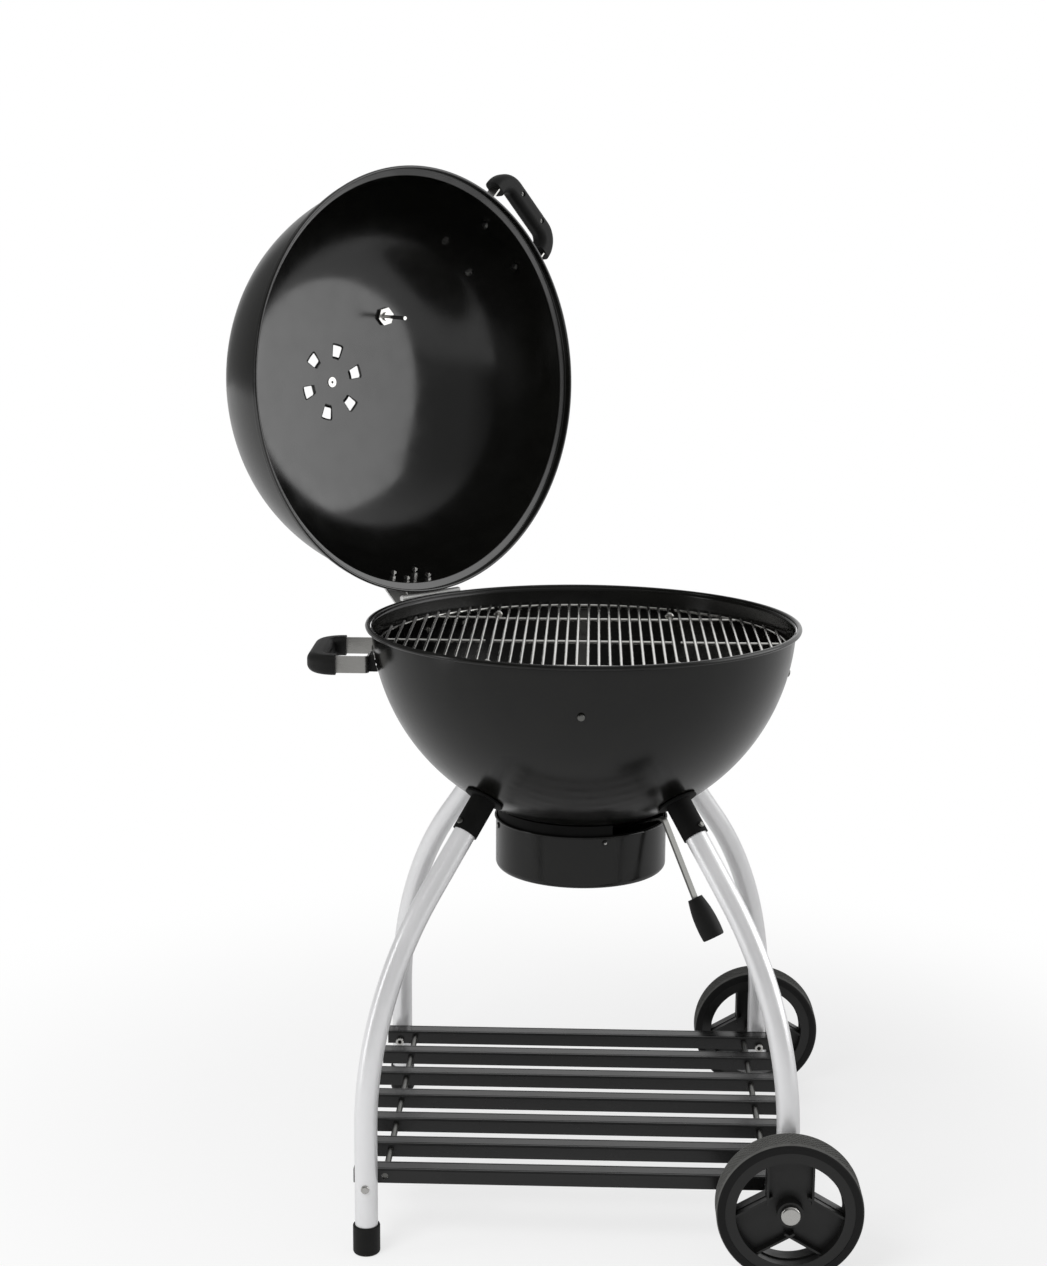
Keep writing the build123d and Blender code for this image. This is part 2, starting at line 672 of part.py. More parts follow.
# Grates and the brackets that carry them
BRACKET_WIDTH = 20.0
BRACKET_SHEET = 2.0
BRACKET_GAP = 0.3
UPPER_TAB_R = 284.0
LOWER_TAB_R = 221.0
TAB_GAP = 0.3


def grate_bracket(azimuth):
    """Strip that follows the wall, with a tab for each grate."""
    wall = BOWL_ARCS[0]
    inner = -SHEET - BRACKET_GAP - BRACKET_SHEET
    upper = GRATE_Z - GRATE_RING - TAB_GAP
    lower = COAL_Z - COAL_WIRE - TAB_GAP
    top_angle = angle_at_height(wall, upper)
    low_angle = angle_at_height(wall, lower - BRACKET_SHEET)
    turn = degrees(BRACKET_WIDTH / BOWL_R)
    strip = turned(band(piece_of(wall, top_angle, low_angle), inner, inner + BRACKET_SHEET, turn), -turn / 2)
    tabs = []
    for height, tip in ((upper, UPPER_TAB_R), (lower, LOWER_TAB_R)):
        root = arc_point(wall, angle_at_height(wall, height - BRACKET_SHEET), inner)[0] + 0.8
        middle = Pos((tip + root) / 2, 0, height - BRACKET_SHEET / 2)
        tabs.append(middle * Box(root - tip, BRACKET_WIDTH * 0.8, BRACKET_SHEET))
    body = turned(strip + tabs, azimuth)
    plane = bracket_planes[BRACKET_TURNS.index(azimuth)]
    return body - plane * rod(BRACKET_BOLT_R + FIT, -20, 20)


def bracket_bolts():
    pieces = []
    seat = -SHEET - BRACKET_GAP - BRACKET_SHEET - 0.1
    for plane in bracket_planes:
        pieces.append(plane * Pos(0, 0, 0.15) * bolt(BRACKET_BOLT_R, -seat + 6, 5.2, 3.2))
        pieces.append(plane * nut(BRACKET_BOLT_R, 5.5, 4.5, seat))
    return group(pieces)


def grate_bar(x, radius, wire, z):
    """Round bar along Y that ends on a ring of a radius."""
    half = sqrt(radius ** 2 - x ** 2)
    return Pos(x, 0, z) * Rot(90, 0, 0) * Cylinder(wire, 2 * half)


def cross_bar(first, last, y, wire, z):
    """Round bar along X."""
    return Pos((first + last) / 2, y, z) * Rot(0, 90, 0) * Cylinder(wire, last - first)


def ring_arc(radius, wire, z, first, width):
    """Stretch of a round wire ring about the axis."""
    section = Plane.XZ * Pos(radius, z) * Circle(wire)
    return turned(revolve(section, Axis.Z, revolution_arc=width), first)


BAR_Z = GRATE_Z + BAR_LIFT
PIVOT_X = (CENTRE_BARS - 0.5) * BAR_PITCH
FLAP_LINE = PIVOT_X + BAR_PITCH / 2
RING_GAP = 3.0


def cooking_grate():
    """Middle of the cooking grate: two ring arcs, bars and crossbars."""
    cut = degrees(acos((FLAP_LINE - RING_GAP) / GRATE_R))
    body = ring_arc(GRATE_R, GRATE_RING, GRATE_Z, cut, 180 - 2 * cut)
    pieces = [ring_arc(GRATE_R, GRATE_RING, GRATE_Z, 180 + cut, 180 - 2 * cut)]
    for index in range(CENTRE_BARS):
        for side in (-1, 1):
            pieces.append(grate_bar(side * (index + 0.5) * BAR_PITCH, GRATE_R, GRATE_BAR, BAR_Z))
    for y in (-CROSSBAR_Y, 0, CROSSBAR_Y):
        pieces.append(cross_bar(-PIVOT_X - 1, PIVOT_X + 1, y, GRATE_RING, GRATE_Z))
    return body + pieces


def grate_flap(side):
    """Side of the cooking grate that lifts: its crossbars end in eyes on the middle's last bar."""
    cut = degrees(acos((FLAP_LINE + RING_GAP) / GRATE_R))
    body = ring_arc(GRATE_R, GRATE_RING, GRATE_Z, -cut, 2 * cut)
    pieces = []
    for index in range(FLAP_BARS):
        pieces.append(grate_bar((CENTRE_BARS + index + 0.5) * BAR_PITCH, GRATE_R, GRATE_BAR, BAR_Z))
    pieces.append(cross_bar(FLAP_LINE + RING_GAP, GRATE_R, 0, GRATE_RING, GRATE_Z))
    for end in (-1, 1):
        reach = sqrt(GRATE_R ** 2 - EYE_Y ** 2)
        pieces.append(cross_bar(PIVOT_X + EYE_START, reach, end * EYE_Y, GRATE_RING, GRATE_Z))
        pieces.append(Pos(PIVOT_X, end * EYE_Y, BAR_Z) * Rot(90, 0, 0) * Torus(EYE_R, EYE_WIRE))
    return turned(body + pieces, 0 if side > 0 else 180)


def charcoal_grate():
    """Lower grate: a ring, bars and two crossbars."""
    body = ring_arc(COAL_R, COAL_WIRE, COAL_Z, 0, 360)
    pieces = []
    count = int(COAL_R / COAL_PITCH - 0.5)
    for index in range(-count, count + 1):
        pieces.append(grate_bar(index * COAL_PITCH, COAL_R, COAL_WIRE, COAL_Z + 1.7 * COAL_WIRE))
    for y in (-COAL_R / 2, COAL_R / 2):
        reach = sqrt(COAL_R ** 2 - y ** 2)
        pieces.append(cross_bar(-reach, reach, y, COAL_WIRE, COAL_Z))
    return body + pieces


# Handles: a steel strip, pads against the curved wall and a grip in two halves
PAD_HALF = 13.0


def handle_strip(thick, height):
    """U-shaped strip in a handle's own frame, feet turned in along the wall."""
    foot = FOOT_U + LEAF / 2
    points = [(foot, -HANDLE_BOLT + PAD_HALF), (foot, -HANDLE_ARM), (STRIP_U, -HANDLE_ARM)]
    points += [(u, -v) for u, v in reversed(points)]
    path = FilletPolyline(*[(u, v, 0) for u, v in points], radius=6)
    start = Plane(origin=path @ 0, x_dir=(0, 0, 1), z_dir=path % 0)
    return sweep(start * Rectangle(height, thick), path=path)


def handle_bracket(handle):
    body = handle_frame(handle) * handle_strip(LEAF, HANDLE_STRIP_H)
    return body - [plane * rod(HANDLE_BOLT_R + FIT, -10, 5) for plane in handle_bolt_planes(handle)]


def handle_pads(handle, wall):
    """Wedges that fill the gap between the strip's flat feet and the curved wall."""
    pads = []
    for side, plane in zip((-1, 1), handle_bolt_planes(handle)):
        block = Pos(FOOT_U - 12.5 - SEAT, side * HANDLE_BOLT, 0) * Box(25, 2 * PAD_HALF, HANDLE_STRIP_H)
        pad = handle_frame(handle) * block - wall
        pads.append(pad - plane * rod(HANDLE_BOLT_R + FIT, -40, 5))
    return group(pads)


def grip_half(handle, side):
    """Upper or lower half of a grip, split at the handle's level."""
    corners = [(GRIP_ENDS_U, -HANDLE_ARM), (GRIP_U, -HANDLE_ARM)]
    corners += [(u, -v) for u, v in reversed(corners)]
    path = FilletPolyline(*[(u, v, 0) for u, v in corners], radius=GRIP_BEND)
    start = Plane(origin=path @ 0, x_dir=(0, 0, 1), z_dir=path % 0)
    whole = sweep(start * RectangleRounded(GRIP_SECTION[1], GRIP_SECTION[0], GRIP_ROUND), path=path)
    whole -= handle_strip(LEAF + 2 * FIT, HANDLE_STRIP_H + 2 * FIT)
    for v in (-GRIP_SCREW[1], GRIP_SCREW[1]):
        place = Pos(GRIP_SCREW[0], v, -GRIP_SECTION[1] / 2)
        whole -= place * (rod(4.2, -1, 5) + rod(1.8 + FIT, -1, 24))
    gap = 0.01
    keep = Pos(360, 0, side * (25 + gap)) * Box(200, 300, 50)
    return handle_frame(handle) * (whole & keep)


def handle_bolts(handle, inside):
    """Bolts through the feet with nuts inside the wall, and the grip's two screws."""
    pieces = []
    for plane in handle_bolt_planes(handle):
        pieces.append(plane * Pos(0, 0, SEAT) * bolt(HANDLE_BOLT_R, inside + 6, 6.5, 4))
        pieces.append(plane * nut(HANDLE_BOLT_R, 5.5, 4.5, -inside))
    for v in (-GRIP_SCREW[1], GRIP_SCREW[1]):
        screw = rod(3.9, 2.6, 4.9) + rod(1.8, 4, 22)
        screw -= Pos(0, 0, 2.6) * Box(1.0, 5.0, 1.6)
        pieces.append(handle_frame(handle) * Pos(GRIP_SCREW[0], v, -GRIP_SECTION[1] / 2) * screw)
    return group(pieces)


# Lid hinge
KETTLE_LEAF = [(299.7, -66.0), (306.4, -36.0), (322.0, -20.0), (HINGE_R, -10.0)]
KNUCKLE_NECK = [(HINGE_R, -12.0), (HINGE_R, HINGE_LIFT - 3.4)]
LID_REST = [(HINGE_R, -12.0), (341.0, -12.0), (376.0, 16.6)]
LID_LEAF = [(327.0, 10.5), (311.4, 22.0), (300.5, 70.0)]
LID_NECK = [(HINGE_R, HINGE_LIFT + 3.4), (327.0, 10.5), (319.0, 16.4)]


def from_rim(points):
    """Points with their heights counted from the rim moved to heights from the floor."""
    return [(r, RIM_Z + z) for r, z in points]


def hinge_barrel(first, last):
    """Knuckle round the hinge's axis between two places along it."""
    plane = Plane(origin=HINGE_POINT, x_dir=outward(HINGE_TURN), z_dir=around(HINGE_TURN))
    return plane * rod(KNUCKLE_R, first, last)


def hinge_bore(radius):
    plane = Plane(origin=HINGE_POINT, x_dir=outward(HINGE_TURN), z_dir=around(HINGE_TURN))
    return plane * rod(radius, -HINGE_HALF - 10, HINGE_HALF + 10)


def leaf_plane(points, height, across_rim):
    """Plane on the outer face of a leaf's last run at a height above the rim, its normal out."""
    (r0, z0), (r1, z1) = points
    share = (height - z0) / (z1 - z0)
    r = r0 + share * (r1 - r0)
    lean = Vector(z1 - z0, 0, -(r1 - r0)).normalized() * (1 if z1 > z0 else -1)
    normal = outward(HINGE_TURN) * lean.X + Vector(0, 0, lean.Z)
    place = outward(HINGE_TURN) * r + around(HINGE_TURN) * across_rim + Vector(0, 0, RIM_Z + height)
    return Plane(origin=place + normal * LEAF / 2, x_dir=around(HINGE_TURN), z_dir=normal)


def kettle_hinge_bolt_planes():
    across_rim, height = KETTLE_HINGE_BOLT
    return [leaf_plane(KETTLE_LEAF[:2], height, side * across_rim) for side in (-1, 1)]


def lid_hinge_bolt_planes():
    planes = []
    for across_rim, height in LID_HINGE_BOLTS:
        for side in (-1, 1):
            planes.append(leaf_plane(LID_LEAF[1:], height, side * across_rim))
    return planes


def kettle_hinge_leaf():
    """Fixed leaf: plate down the bowl's wall, three knuckles and a wide rest for the open lid."""
    body = bent_strip(from_rim(KETTLE_LEAF), 5, LEAF, -HINGE_HALF, HINGE_HALF, HINGE_TURN)
    body += bent_strip(from_rim(LID_REST), 5, LEAF, -HINGE_HALF, HINGE_HALF, HINGE_TURN)
    plane = radial_plane(HINGE_TURN)
    for first, last in KETTLE_KNUCKLES:
        low, high = [plane.from_local_coords((r, z, 0)) for r, z in from_rim(KNUCKLE_NECK)]
        neck = Plane(origin=(low + high) / 2, x_dir=around(HINGE_TURN), z_dir=(0, 0, 1))
        height = high.Z - low.Z
        body += neck * Pos((first + last) / 2, 0, 0) * Box(last - first, LEAF, height)
        body += hinge_barrel(first, last)
    body -= hinge_bore(PIN_R + FIT)
    return body - [place * rod(HINGE_BOLT_R + FIT, -10, 5) for place in kettle_hinge_bolt_planes()]


def lid_hinge_leaf():
    """Moving leaf: two knuckles, and a plate up the lid's wall."""
    first, last = LID_KNUCKLES
    body = bent_strip(from_rim(LID_LEAF), 4, LEAF, -last, last, HINGE_TURN)
    body -= hinge_barrel_room()
    for side in (-1, 1):
        ends = sorted((side * first, side * last))
        body += bent_strip(from_rim(LID_NECK), 3, LEAF, *ends, HINGE_TURN)
        body += hinge_barrel(*ends)
    body -= hinge_bore(PIN_R + RUN)
    body -= [place * rod(HINGE_BOLT_R + FIT, -10, 5) for place in lid_hinge_bolt_planes()]
    return opened(body)


def hinge_barrel_room():
    """Space round the fixed middle knuckle that the moving leaf leaves free."""
    plane = Plane(origin=HINGE_POINT, x_dir=outward(HINGE_TURN), z_dir=around(HINGE_TURN))
    return plane * rod(KNUCKLE_R + 14, -LID_KNUCKLES[0], LID_KNUCKLES[0])


def hinge_pin():
    """Pin with a domed head at one end and a flat one at the other."""
    plane = Plane(origin=HINGE_POINT, x_dir=outward(HINGE_TURN), z_dir=around(HINGE_TURN))
    end = HINGE_HALF + SEAT
    pin = rod(PIN_R, -end - 1, end + 1) + Pos(0, 0, end) * domed(4.2, 2)
    pin += rod(4.2, -end - 1.6, -end)
    return plane * pin


def hinge_bolt_set(planes, inside):
    """Domed bolts with nuts inside the wall."""
    pieces = []
    for plane in planes:
        pieces.append(plane * Pos(0, 0, SEAT) * bolt(HINGE_BOLT_R, inside + 5, 5.5, 3.2))
        pieces.append(plane * nut(HINGE_BOLT_R, 5.0, 4, -inside))
    return pieces


# Lid with its vent, thermometer and blank plate
THERMO_R = 149.0
THERMO_TURN = 4.0
THERMO_CASE = 27.0
THERMO_DEEP = 15.0
STEM_R = 3.0
SPIGOT_R = 7.0
PLATE_HEIGHT = 117.0
PLATE_TURN = 2.4
PLATE_WIDTH = 20.0       # degrees
PLATE_HALF = 11.0        # half its height along the wall
PLATE_SHEET = 1.0
PLATE_GAP = 0.15
RIVET_SPREAD = 7.3       # degrees each side of the plate's middle
RIVET_R = 2.0


def vent_holes():
    """Ring of tapered vent holes about the lid's pole."""
    outer, inner, length = VENT_HOLE
    corners = [(-length / 2, -inner / 2), (length / 2, -outer / 2)]
    corners += [(x, -y) for x, y in reversed(corners)]
    hole = make_face(Polyline(*corners, close=True))
    hole = fillet(hole.vertices(), 3)
    holes = []
    for index in range(VENT_COUNT):
        place = Rot(0, 0, VENT_TURN + 360 / VENT_COUNT * index) * Pos(VENT_R, 0, LID_TOP - 15)
        holes.append(place * extrude(hole, 30))
    return holes


def thermo_plane():
    arc = LID_PROFILE[-1]
    return skin_plane(arc, THERMO_TURN, degrees(acos(THERMO_R / arc[1])))


def plate_rivet_planes():
    """Planes on the lid's skin at the blank plate's rivets."""
    arc = LID_PROFILE[1]
    angle = angle_at_height(arc, RIM_Z + PLATE_HEIGHT)
    return [skin_plane(arc, PLATE_TURN + side * RIVET_SPREAD, angle) for side in (-1, 1)]


def lid_dome():
    shell = band(LID_PROFILE, -SHEET, 0)
    seat_inner = LID_WALL_R - SHEET - 0.05
    seat_inner_z = RIM_Z + SEAT_TOP
    seat_outer_z = seat_inner_z - (SKIRT_R - seat_inner) * tan(radians(SEAT_LEAN))
    corners = [(seat_inner, seat_inner_z), (SKIRT_R, seat_outer_z)]
    corners += [(r, z - SHEET) for r, z in reversed(corners)]
    ledge = revolve(Plane.XZ * make_face(Polyline(*corners, close=True)), Axis.Z)
    skirt = tube(SKIRT_R, SKIRT_R - SHEET, RIM_Z - SKIRT_DROP, seat_outer_z)
    bead = Pos(0, 0, RIM_Z - SKIRT_DROP) * Torus(SKIRT_R, SKIRT_BEAD)
    holes = vent_holes()
    holes.append(rod(VENT_RIVET_R + FIT, LID_TOP - 10, LID_TOP + 10))
    holes.append(thermo_plane() * rod(SPIGOT_R + FIT, -10, 10))
    for plane in plate_rivet_planes():
        holes.append(plane * rod(RIVET_R + FIT, -10, 10))
    for plane in handle_bolt_planes(LID_HANDLE):
        holes.append(plane * rod(HANDLE_BOLT_R + FIT, -30, 5))
    for plane in lid_hinge_bolt_planes():
        holes.append(plane * rod(HINGE_BOLT_R + FIT, -20, 5))
    return opened((shell + ledge + skirt + bead) - holes)


def vent_damper():
    """Turning disc with the same holes, and a tab to turn it by."""
    arc = LID_PROFILE[-1]
    edge = degrees(acos(DAMPER_R / arc[1]))
    disc = band(piece_of(arc, edge, 90.0), DAMPER_GAP, DAMPER_GAP + DAMPER_SHEET)
    tab = Pos(DAMPER_R - 3, 0, LID_TOP + 5.25) * Box(DAMPER_SHEET, 24, 12.5)
    tab = fillet(tab.edges().filter_by(Axis.X).group_by(Axis.Z)[-1], 6)
    body = disc + turned(tab, VENT_TURN + 30)
    return opened(body - vent_holes() - rod(VENT_RIVET_R + RUN, LID_TOP - 10, LID_TOP + 10))


def vent_rivet():
    """Hollow rivet: flanges each side of the lid and damper."""
    low = LID_TOP - SHEET - 0.1
    high = LID_TOP + DAMPER_GAP + DAMPER_SHEET + 0.15
    body = rod(VENT_RIVET_R, low - 0.5, high + 0.5) + rod(8, low - 1.2, low)
    body += Pos(0, 0, high) * domed(8, 1.6)
    return opened(body - rod(2.2, low - 5, high + 5))


def thermometer_case():
    """Cup with a stem that reaches through the lid."""
    cup = Pos(0, 0, 1.2) * Cylinder(THERMO_CASE, THERMO_DEEP, align=BASE)
    cup = fillet(cup.edges().group_by(Axis.Z)[0], 3)
    cup -= rod(THERMO_CASE - 3, 1.2 + THERMO_DEEP - 7, 1.2 + THERMO_DEEP - 2)
    cup -= rod(THERMO_CASE - 4.5, 1.2 + THERMO_DEEP - 4, 1.2 + THERMO_DEEP + 1)
    cup += rod(SPIGOT_R, -11, 2) + rod(STEM_R, -58, -10)
    return opened(thermo_plane() * cup)


def thermometer_glass():
    high = 1.2 + THERMO_DEEP - 2
    return opened(thermo_plane() * rod(THERMO_CASE - 3 - FIT, high - 1.6, high - FIT))


def thermometer_pointer():
    """Balanced pointer above the dial: a long thin end and a short broad tail."""
    dial = 1.2 + THERMO_DEEP - 7
    corners = [(-9, -2.6), (0, -1.5), (19, -0.5), (19, 0.5), (0, 1.5), (-9, 2.6)]
    blade = extrude(make_face(Polyline(*corners, close=True)), 0.8)
    body = Pos(0, 0, dial + 1.2) * blade + rod(2.6, dial + 0.4, dial + 2.4)
    return opened(thermo_plane() * body)


def thermometer_nut():
    return opened(thermo_plane() * nut(SPIGOT_R, 15, 5, -SHEET - 0.8))


def name_plate():
    """Blank plate that follows the lid's double curve."""
    arc = LID_PROFILE[1]
    middle = angle_at_height(arc, RIM_Z + PLATE_HEIGHT)
    lean = degrees(PLATE_HALF / arc[1])
    plate = band(piece_of(arc, middle - lean, middle + lean), PLATE_GAP, PLATE_GAP + PLATE_SHEET, PLATE_WIDTH)
    body = turned(plate, PLATE_TURN - PLATE_WIDTH / 2)
    return opened(body - [plane * rod(RIVET_R + FIT, -10, 10) for plane in plate_rivet_planes()])


def plate_rivets():
    """Rivets through plate and lid, flat heads inside."""
    pieces = []
    for plane in plate_rivet_planes():
        body = Pos(0, 0, PLATE_GAP + PLATE_SHEET + SEAT) * domed(3.4, 1.4) + rod(RIVET_R, -3.2, 1.6)
        body += rod(5.5, -4.4, -SHEET - 0.15)
        pieces.append(opened(plane * body))
    return group(pieces)


def opened_group(compound):
    """Lid fasteners, each swung open."""
    return group(opened(solid) for solid in compound.solids())


os.makedirs("parts", exist_ok=True)
nodes = {"kettle_bowl": kettle_bowl()}

for name, azimuth in LEG_AZIMUTHS.items():
    left = name.endswith("left")
    body = leg(azimuth, FOOT_END if left else PLUG_END)
    x = -LEG_FOOT if left else LEG_FOOT
    end = 1 if name.startswith("rear") else -1
    body -= across(end, x, AXLE_Z) * rod(THREAD_R + FIT, -2 * TUBE_R - 5, 5)
    body -= socket_screw_plane(azimuth) * rod(2.5 + FIT, -8, 6)
    nodes["leg_" + name] = body

turns = LEG_AZIMUTHS.values()
nodes["leg_sockets"] = group(leg_socket(azimuth) for azimuth in turns)
screw = Pos(0, 0, 0.3) * bolt(2.5, 6, 4.5, 3)
nodes["socket_screws"] = group(socket_screw_plane(azimuth) * screw for azimuth in turns)
nodes["leg_end_caps"] = leg_end_caps()
nodes["wheel_bolts"] = wheel_bolts()
nodes["wheel_nuts"] = wheel_nuts()
for index in range(SLAT_COUNT):
    nodes["slat_" + str(index + 1)] = slat(index)
nodes["shelf_rods"] = shelf_rods()
nodes["shelf_screws"] = shelf_screws()
nodes["pot_collar"] = pot_collar()
nodes["grate_brackets"] = group(grate_bracket(azimuth) for azimuth in BRACKET_TURNS)
nodes["bracket_bolts"] = bracket_bolts()

bowl_wall = filled(BOWL_ARCS, SEAT)
nodes["side_handle_bracket"] = handle_bracket(SIDE_HANDLE)
nodes["side_handle_pads"] = handle_pads(SIDE_HANDLE, bowl_wall)
nodes["side_grip_top"] = grip_half(SIDE_HANDLE, 1)
nodes["side_grip_bottom"] = grip_half(SIDE_HANDLE, -1)
nodes["side_handle_bolts"] = handle_bolts(SIDE_HANDLE, 13.3)
nodes["kettle_hinge_leaf"] = kettle_hinge_leaf()
nodes["kettle_hinge_bolts"] = group(hinge_bolt_set(kettle_hinge_bolt_planes(), 10.0))
nodes["hinge_pin"] = hinge_pin()

lid_wall = filled(LID_PROFILE, SEAT)
nodes["lid_dome"] = lid_dome()
nodes["lid_handle_bracket"] = opened(handle_bracket(LID_HANDLE))
nodes["lid_handle_pads"] = opened_group(handle_pads(LID_HANDLE, lid_wall))
nodes["lid_grip_top"] = opened(grip_half(LID_HANDLE, 1))
nodes["lid_grip_bottom"] = opened(grip_half(LID_HANDLE, -1))
nodes["lid_handle_bolts"] = opened_group(handle_bolts(LID_HANDLE, 11.7))
nodes["name_plate"] = name_plate()
nodes["plate_rivets"] = plate_rivets()
nodes["thermometer_case"] = thermometer_case()
nodes["thermometer_glass"] = thermometer_glass()
nodes["thermometer_pointer"] = thermometer_pointer()
nodes["thermometer_nut"] = thermometer_nut()
nodes["lid_hinge_leaf"] = lid_hinge_leaf()
nodes["lid_hinge_bolts"] = opened_group(group(hinge_bolt_set(lid_hinge_bolt_planes(), 7.0)))
nodes["vent_rivet"] = vent_rivet()
nodes["vent_damper"] = vent_damper()

nodes["sweeper"] = sweeper()
nodes["air_lever"] = air_lever()
nodes["lever_grip"] = lever_grip()
nodes["shaft_nut"] = shaft_nut()
nodes["ash_pot"] = ash_pot()

nodes["cooking_grate"] = cooking_grate()
nodes["grate_flap_left"] = grate_flap(-1)
nodes["grate_flap_right"] = grate_flap(1)
nodes["charcoal_grate"] = charcoal_grate()

for side, name in ((-1, "front"), (1, "rear")):
    nodes["wheel_" + name] = wheel(side)
    nodes["tyre_" + name] = tyre(side)

for name, shape in nodes.items():
    export_step(shape, os.path.join("parts", name + ".step"))
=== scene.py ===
# Kettle charcoal grill with its lid swung open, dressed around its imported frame, in metres.
import json
import math

import bmesh
import bpy
import numpy as np
from mathutils import Matrix, Vector


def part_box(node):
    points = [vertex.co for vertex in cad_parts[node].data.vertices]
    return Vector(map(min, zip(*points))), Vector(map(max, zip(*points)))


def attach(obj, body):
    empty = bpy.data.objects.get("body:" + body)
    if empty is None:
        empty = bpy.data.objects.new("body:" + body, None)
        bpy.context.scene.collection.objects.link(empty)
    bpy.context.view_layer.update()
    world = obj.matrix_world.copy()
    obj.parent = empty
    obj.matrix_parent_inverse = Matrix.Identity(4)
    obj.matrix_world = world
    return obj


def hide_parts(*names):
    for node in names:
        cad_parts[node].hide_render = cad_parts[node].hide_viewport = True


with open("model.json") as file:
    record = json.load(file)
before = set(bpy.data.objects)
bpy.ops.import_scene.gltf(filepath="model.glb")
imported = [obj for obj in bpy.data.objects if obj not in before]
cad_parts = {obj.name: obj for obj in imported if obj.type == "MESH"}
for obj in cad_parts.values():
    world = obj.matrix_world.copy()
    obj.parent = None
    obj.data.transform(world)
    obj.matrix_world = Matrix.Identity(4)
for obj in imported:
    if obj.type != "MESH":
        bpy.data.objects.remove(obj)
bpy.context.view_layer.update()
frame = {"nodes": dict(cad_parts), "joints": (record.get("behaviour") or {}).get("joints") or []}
nodes = frame["nodes"]


# Kettle bowl. Deep pressed steel bowl with a rolled rim, fired with black vitreous enamel.
# The sheet runs up the wall and curls over into the bead; three ash slots are punched in its bottom.
MM = 0.001
SHEET = 1.2 * MM
RIM_BEAD = 3.75 * MM
RIM_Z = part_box("kettle_bowl")[1][2] - RIM_BEAD
RIM_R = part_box("kettle_bowl")[1][0]
BEAD_LAP = 0.3 * MM         # how far the wall's outer face runs into the bead
BEAD_SIDES = 28
ROUND_STEPS = 240           # steps round a bead
BOWL_R = RIM_R - 2 * RIM_BEAD + BEAD_LAP
BOWL_SIDE = 307 * MM        # radius of the side's arc
BOWL_DRAFT = 2.4            # degrees that the wall leans in under the rim
BOWL_KNEE = 49.7            # degrees round the side's arc where the bottom's arc begins
BOWL_STEPS = (50, 46)       # points in the two arcs
SLOTS = 3
SLOT_R = (36 * MM, 96 * MM)
SLOT_HALF = 18.0            # degrees, half a slot's width
SLOT_TURN = 30.0            # azimuth of the first slot
SLOT_STEPS = (24, 48)       # steps across a slot and between two
WELD = 0.002 * MM           # points closer than this become one
NOISE_SPAN = (0.3, 0.7)     # where most of a noise texture's values lie


def linear(hex_colour):
    """sRGB hex to linear: each channel c becomes c / 12.92 or ((c + 0.055) / 1.055) ** 2.4."""
    parts = np.array([int(hex_colour[i:i + 2], 16) for i in (1, 3, 5)]) / 255
    low = parts / 12.92
    high = ((parts + 0.055) / 1.055) ** 2.4
    return (*np.where(parts <= 0.04045, low, high), 1.0)


def add(tree, kind, inputs=(), **settings):
    """New node: settings are its own properties, inputs are plain values or sockets to link."""
    node = tree.nodes.new(kind)
    for name, value in settings.items():
        setattr(node, name, value)
    for key, value in dict(inputs).items():
        if isinstance(value, bpy.types.NodeSocket):
            tree.links.new(value, node.inputs[key])
        else:
            node.inputs[key].default_value = value
    return node


def shaded(name, shader):
    """Material of one Principled shader with these socket values; returns it, its tree and the shader."""
    material = bpy.data.materials.new(name)
    material.use_nodes = True
    tree = material.node_tree
    tree.nodes.clear()
    surface = add(tree, "ShaderNodeBsdfPrincipled", shader)
    add(tree, "ShaderNodeOutputMaterial", {"Surface": surface.outputs[0]})
    return material, tree, surface


def grain(tree, size, detail, stretch=(1, 1, 1)):
    """Noise of a real size in metres on object coordinates, drawn out along the axes with small stretch."""
    place = add(tree, "ShaderNodeTexCoord").outputs["Object"]
    place = add(tree, "ShaderNodeMapping", {"Vector": place, "Scale": stretch}).outputs[0]
    noise = {"Vector": place, "Scale": 1 / size, "Detail": detail}
    return add(tree, "ShaderNodeTexNoise", noise).outputs[0]


def vary(tree, surface, pattern, colours=None, roughness=None):
    """Lets a pattern run a surface's colour between two hex colours and its roughness between two values.

    The span where most of the pattern lies is drawn out to the whole run of the roughness."""
    if colours:
        mix = {0: pattern, 6: linear(colours[0]), 7: linear(colours[1])}
        mixed = add(tree, "ShaderNodeMix", mix, data_type="RGBA").outputs[2]
        tree.links.new(mixed, surface.inputs["Base Color"])
    if roughness:
        span = {"Value": pattern, "From Min": NOISE_SPAN[0], "From Max": NOISE_SPAN[1],
                "To Min": roughness[0], "To Max": roughness[1]}
        tree.links.new(add(tree, "ShaderNodeMapRange", span).outputs[0], surface.inputs["Roughness"])


def emboss(tree, surface, *layers):
    """Bumps of (pattern, depth in metres, strength) on a surface, each laid over the one before."""
    under = {}
    for pattern, depth, strength in layers:
        bump = {"Height": pattern, "Distance": depth, "Strength": strength, **under}
        under = {"Normal": add(tree, "ShaderNodeBump", bump).outputs[0]}
    tree.links.new(under["Normal"], surface.inputs["Normal"])


def black_enamel(name, gloss):
    """Vitreous enamel, fired on steel: a glassy black, faintly uneven, over slightly wavy sheet."""
    shader = {"Base Color": linear("#0b0b0a"), "Roughness": 0.2, "IOR": 1.5, "Specular IOR Level": gloss}
    material, tree, surface = shaded(name, shader)
    mottle = grain(tree, 35 * MM, 3)
    sheet_wave = grain(tree, 120 * MM, 1)
    orange_peel = grain(tree, 5 * MM, 2)
    vary(tree, surface, mottle, ("#080807", "#11110f"), (0.17, 0.24))
    emboss(tree, surface, (sheet_wave, 0.6 * MM, 1.0), (orange_peel, 0.02 * MM, 0.5))
    return material


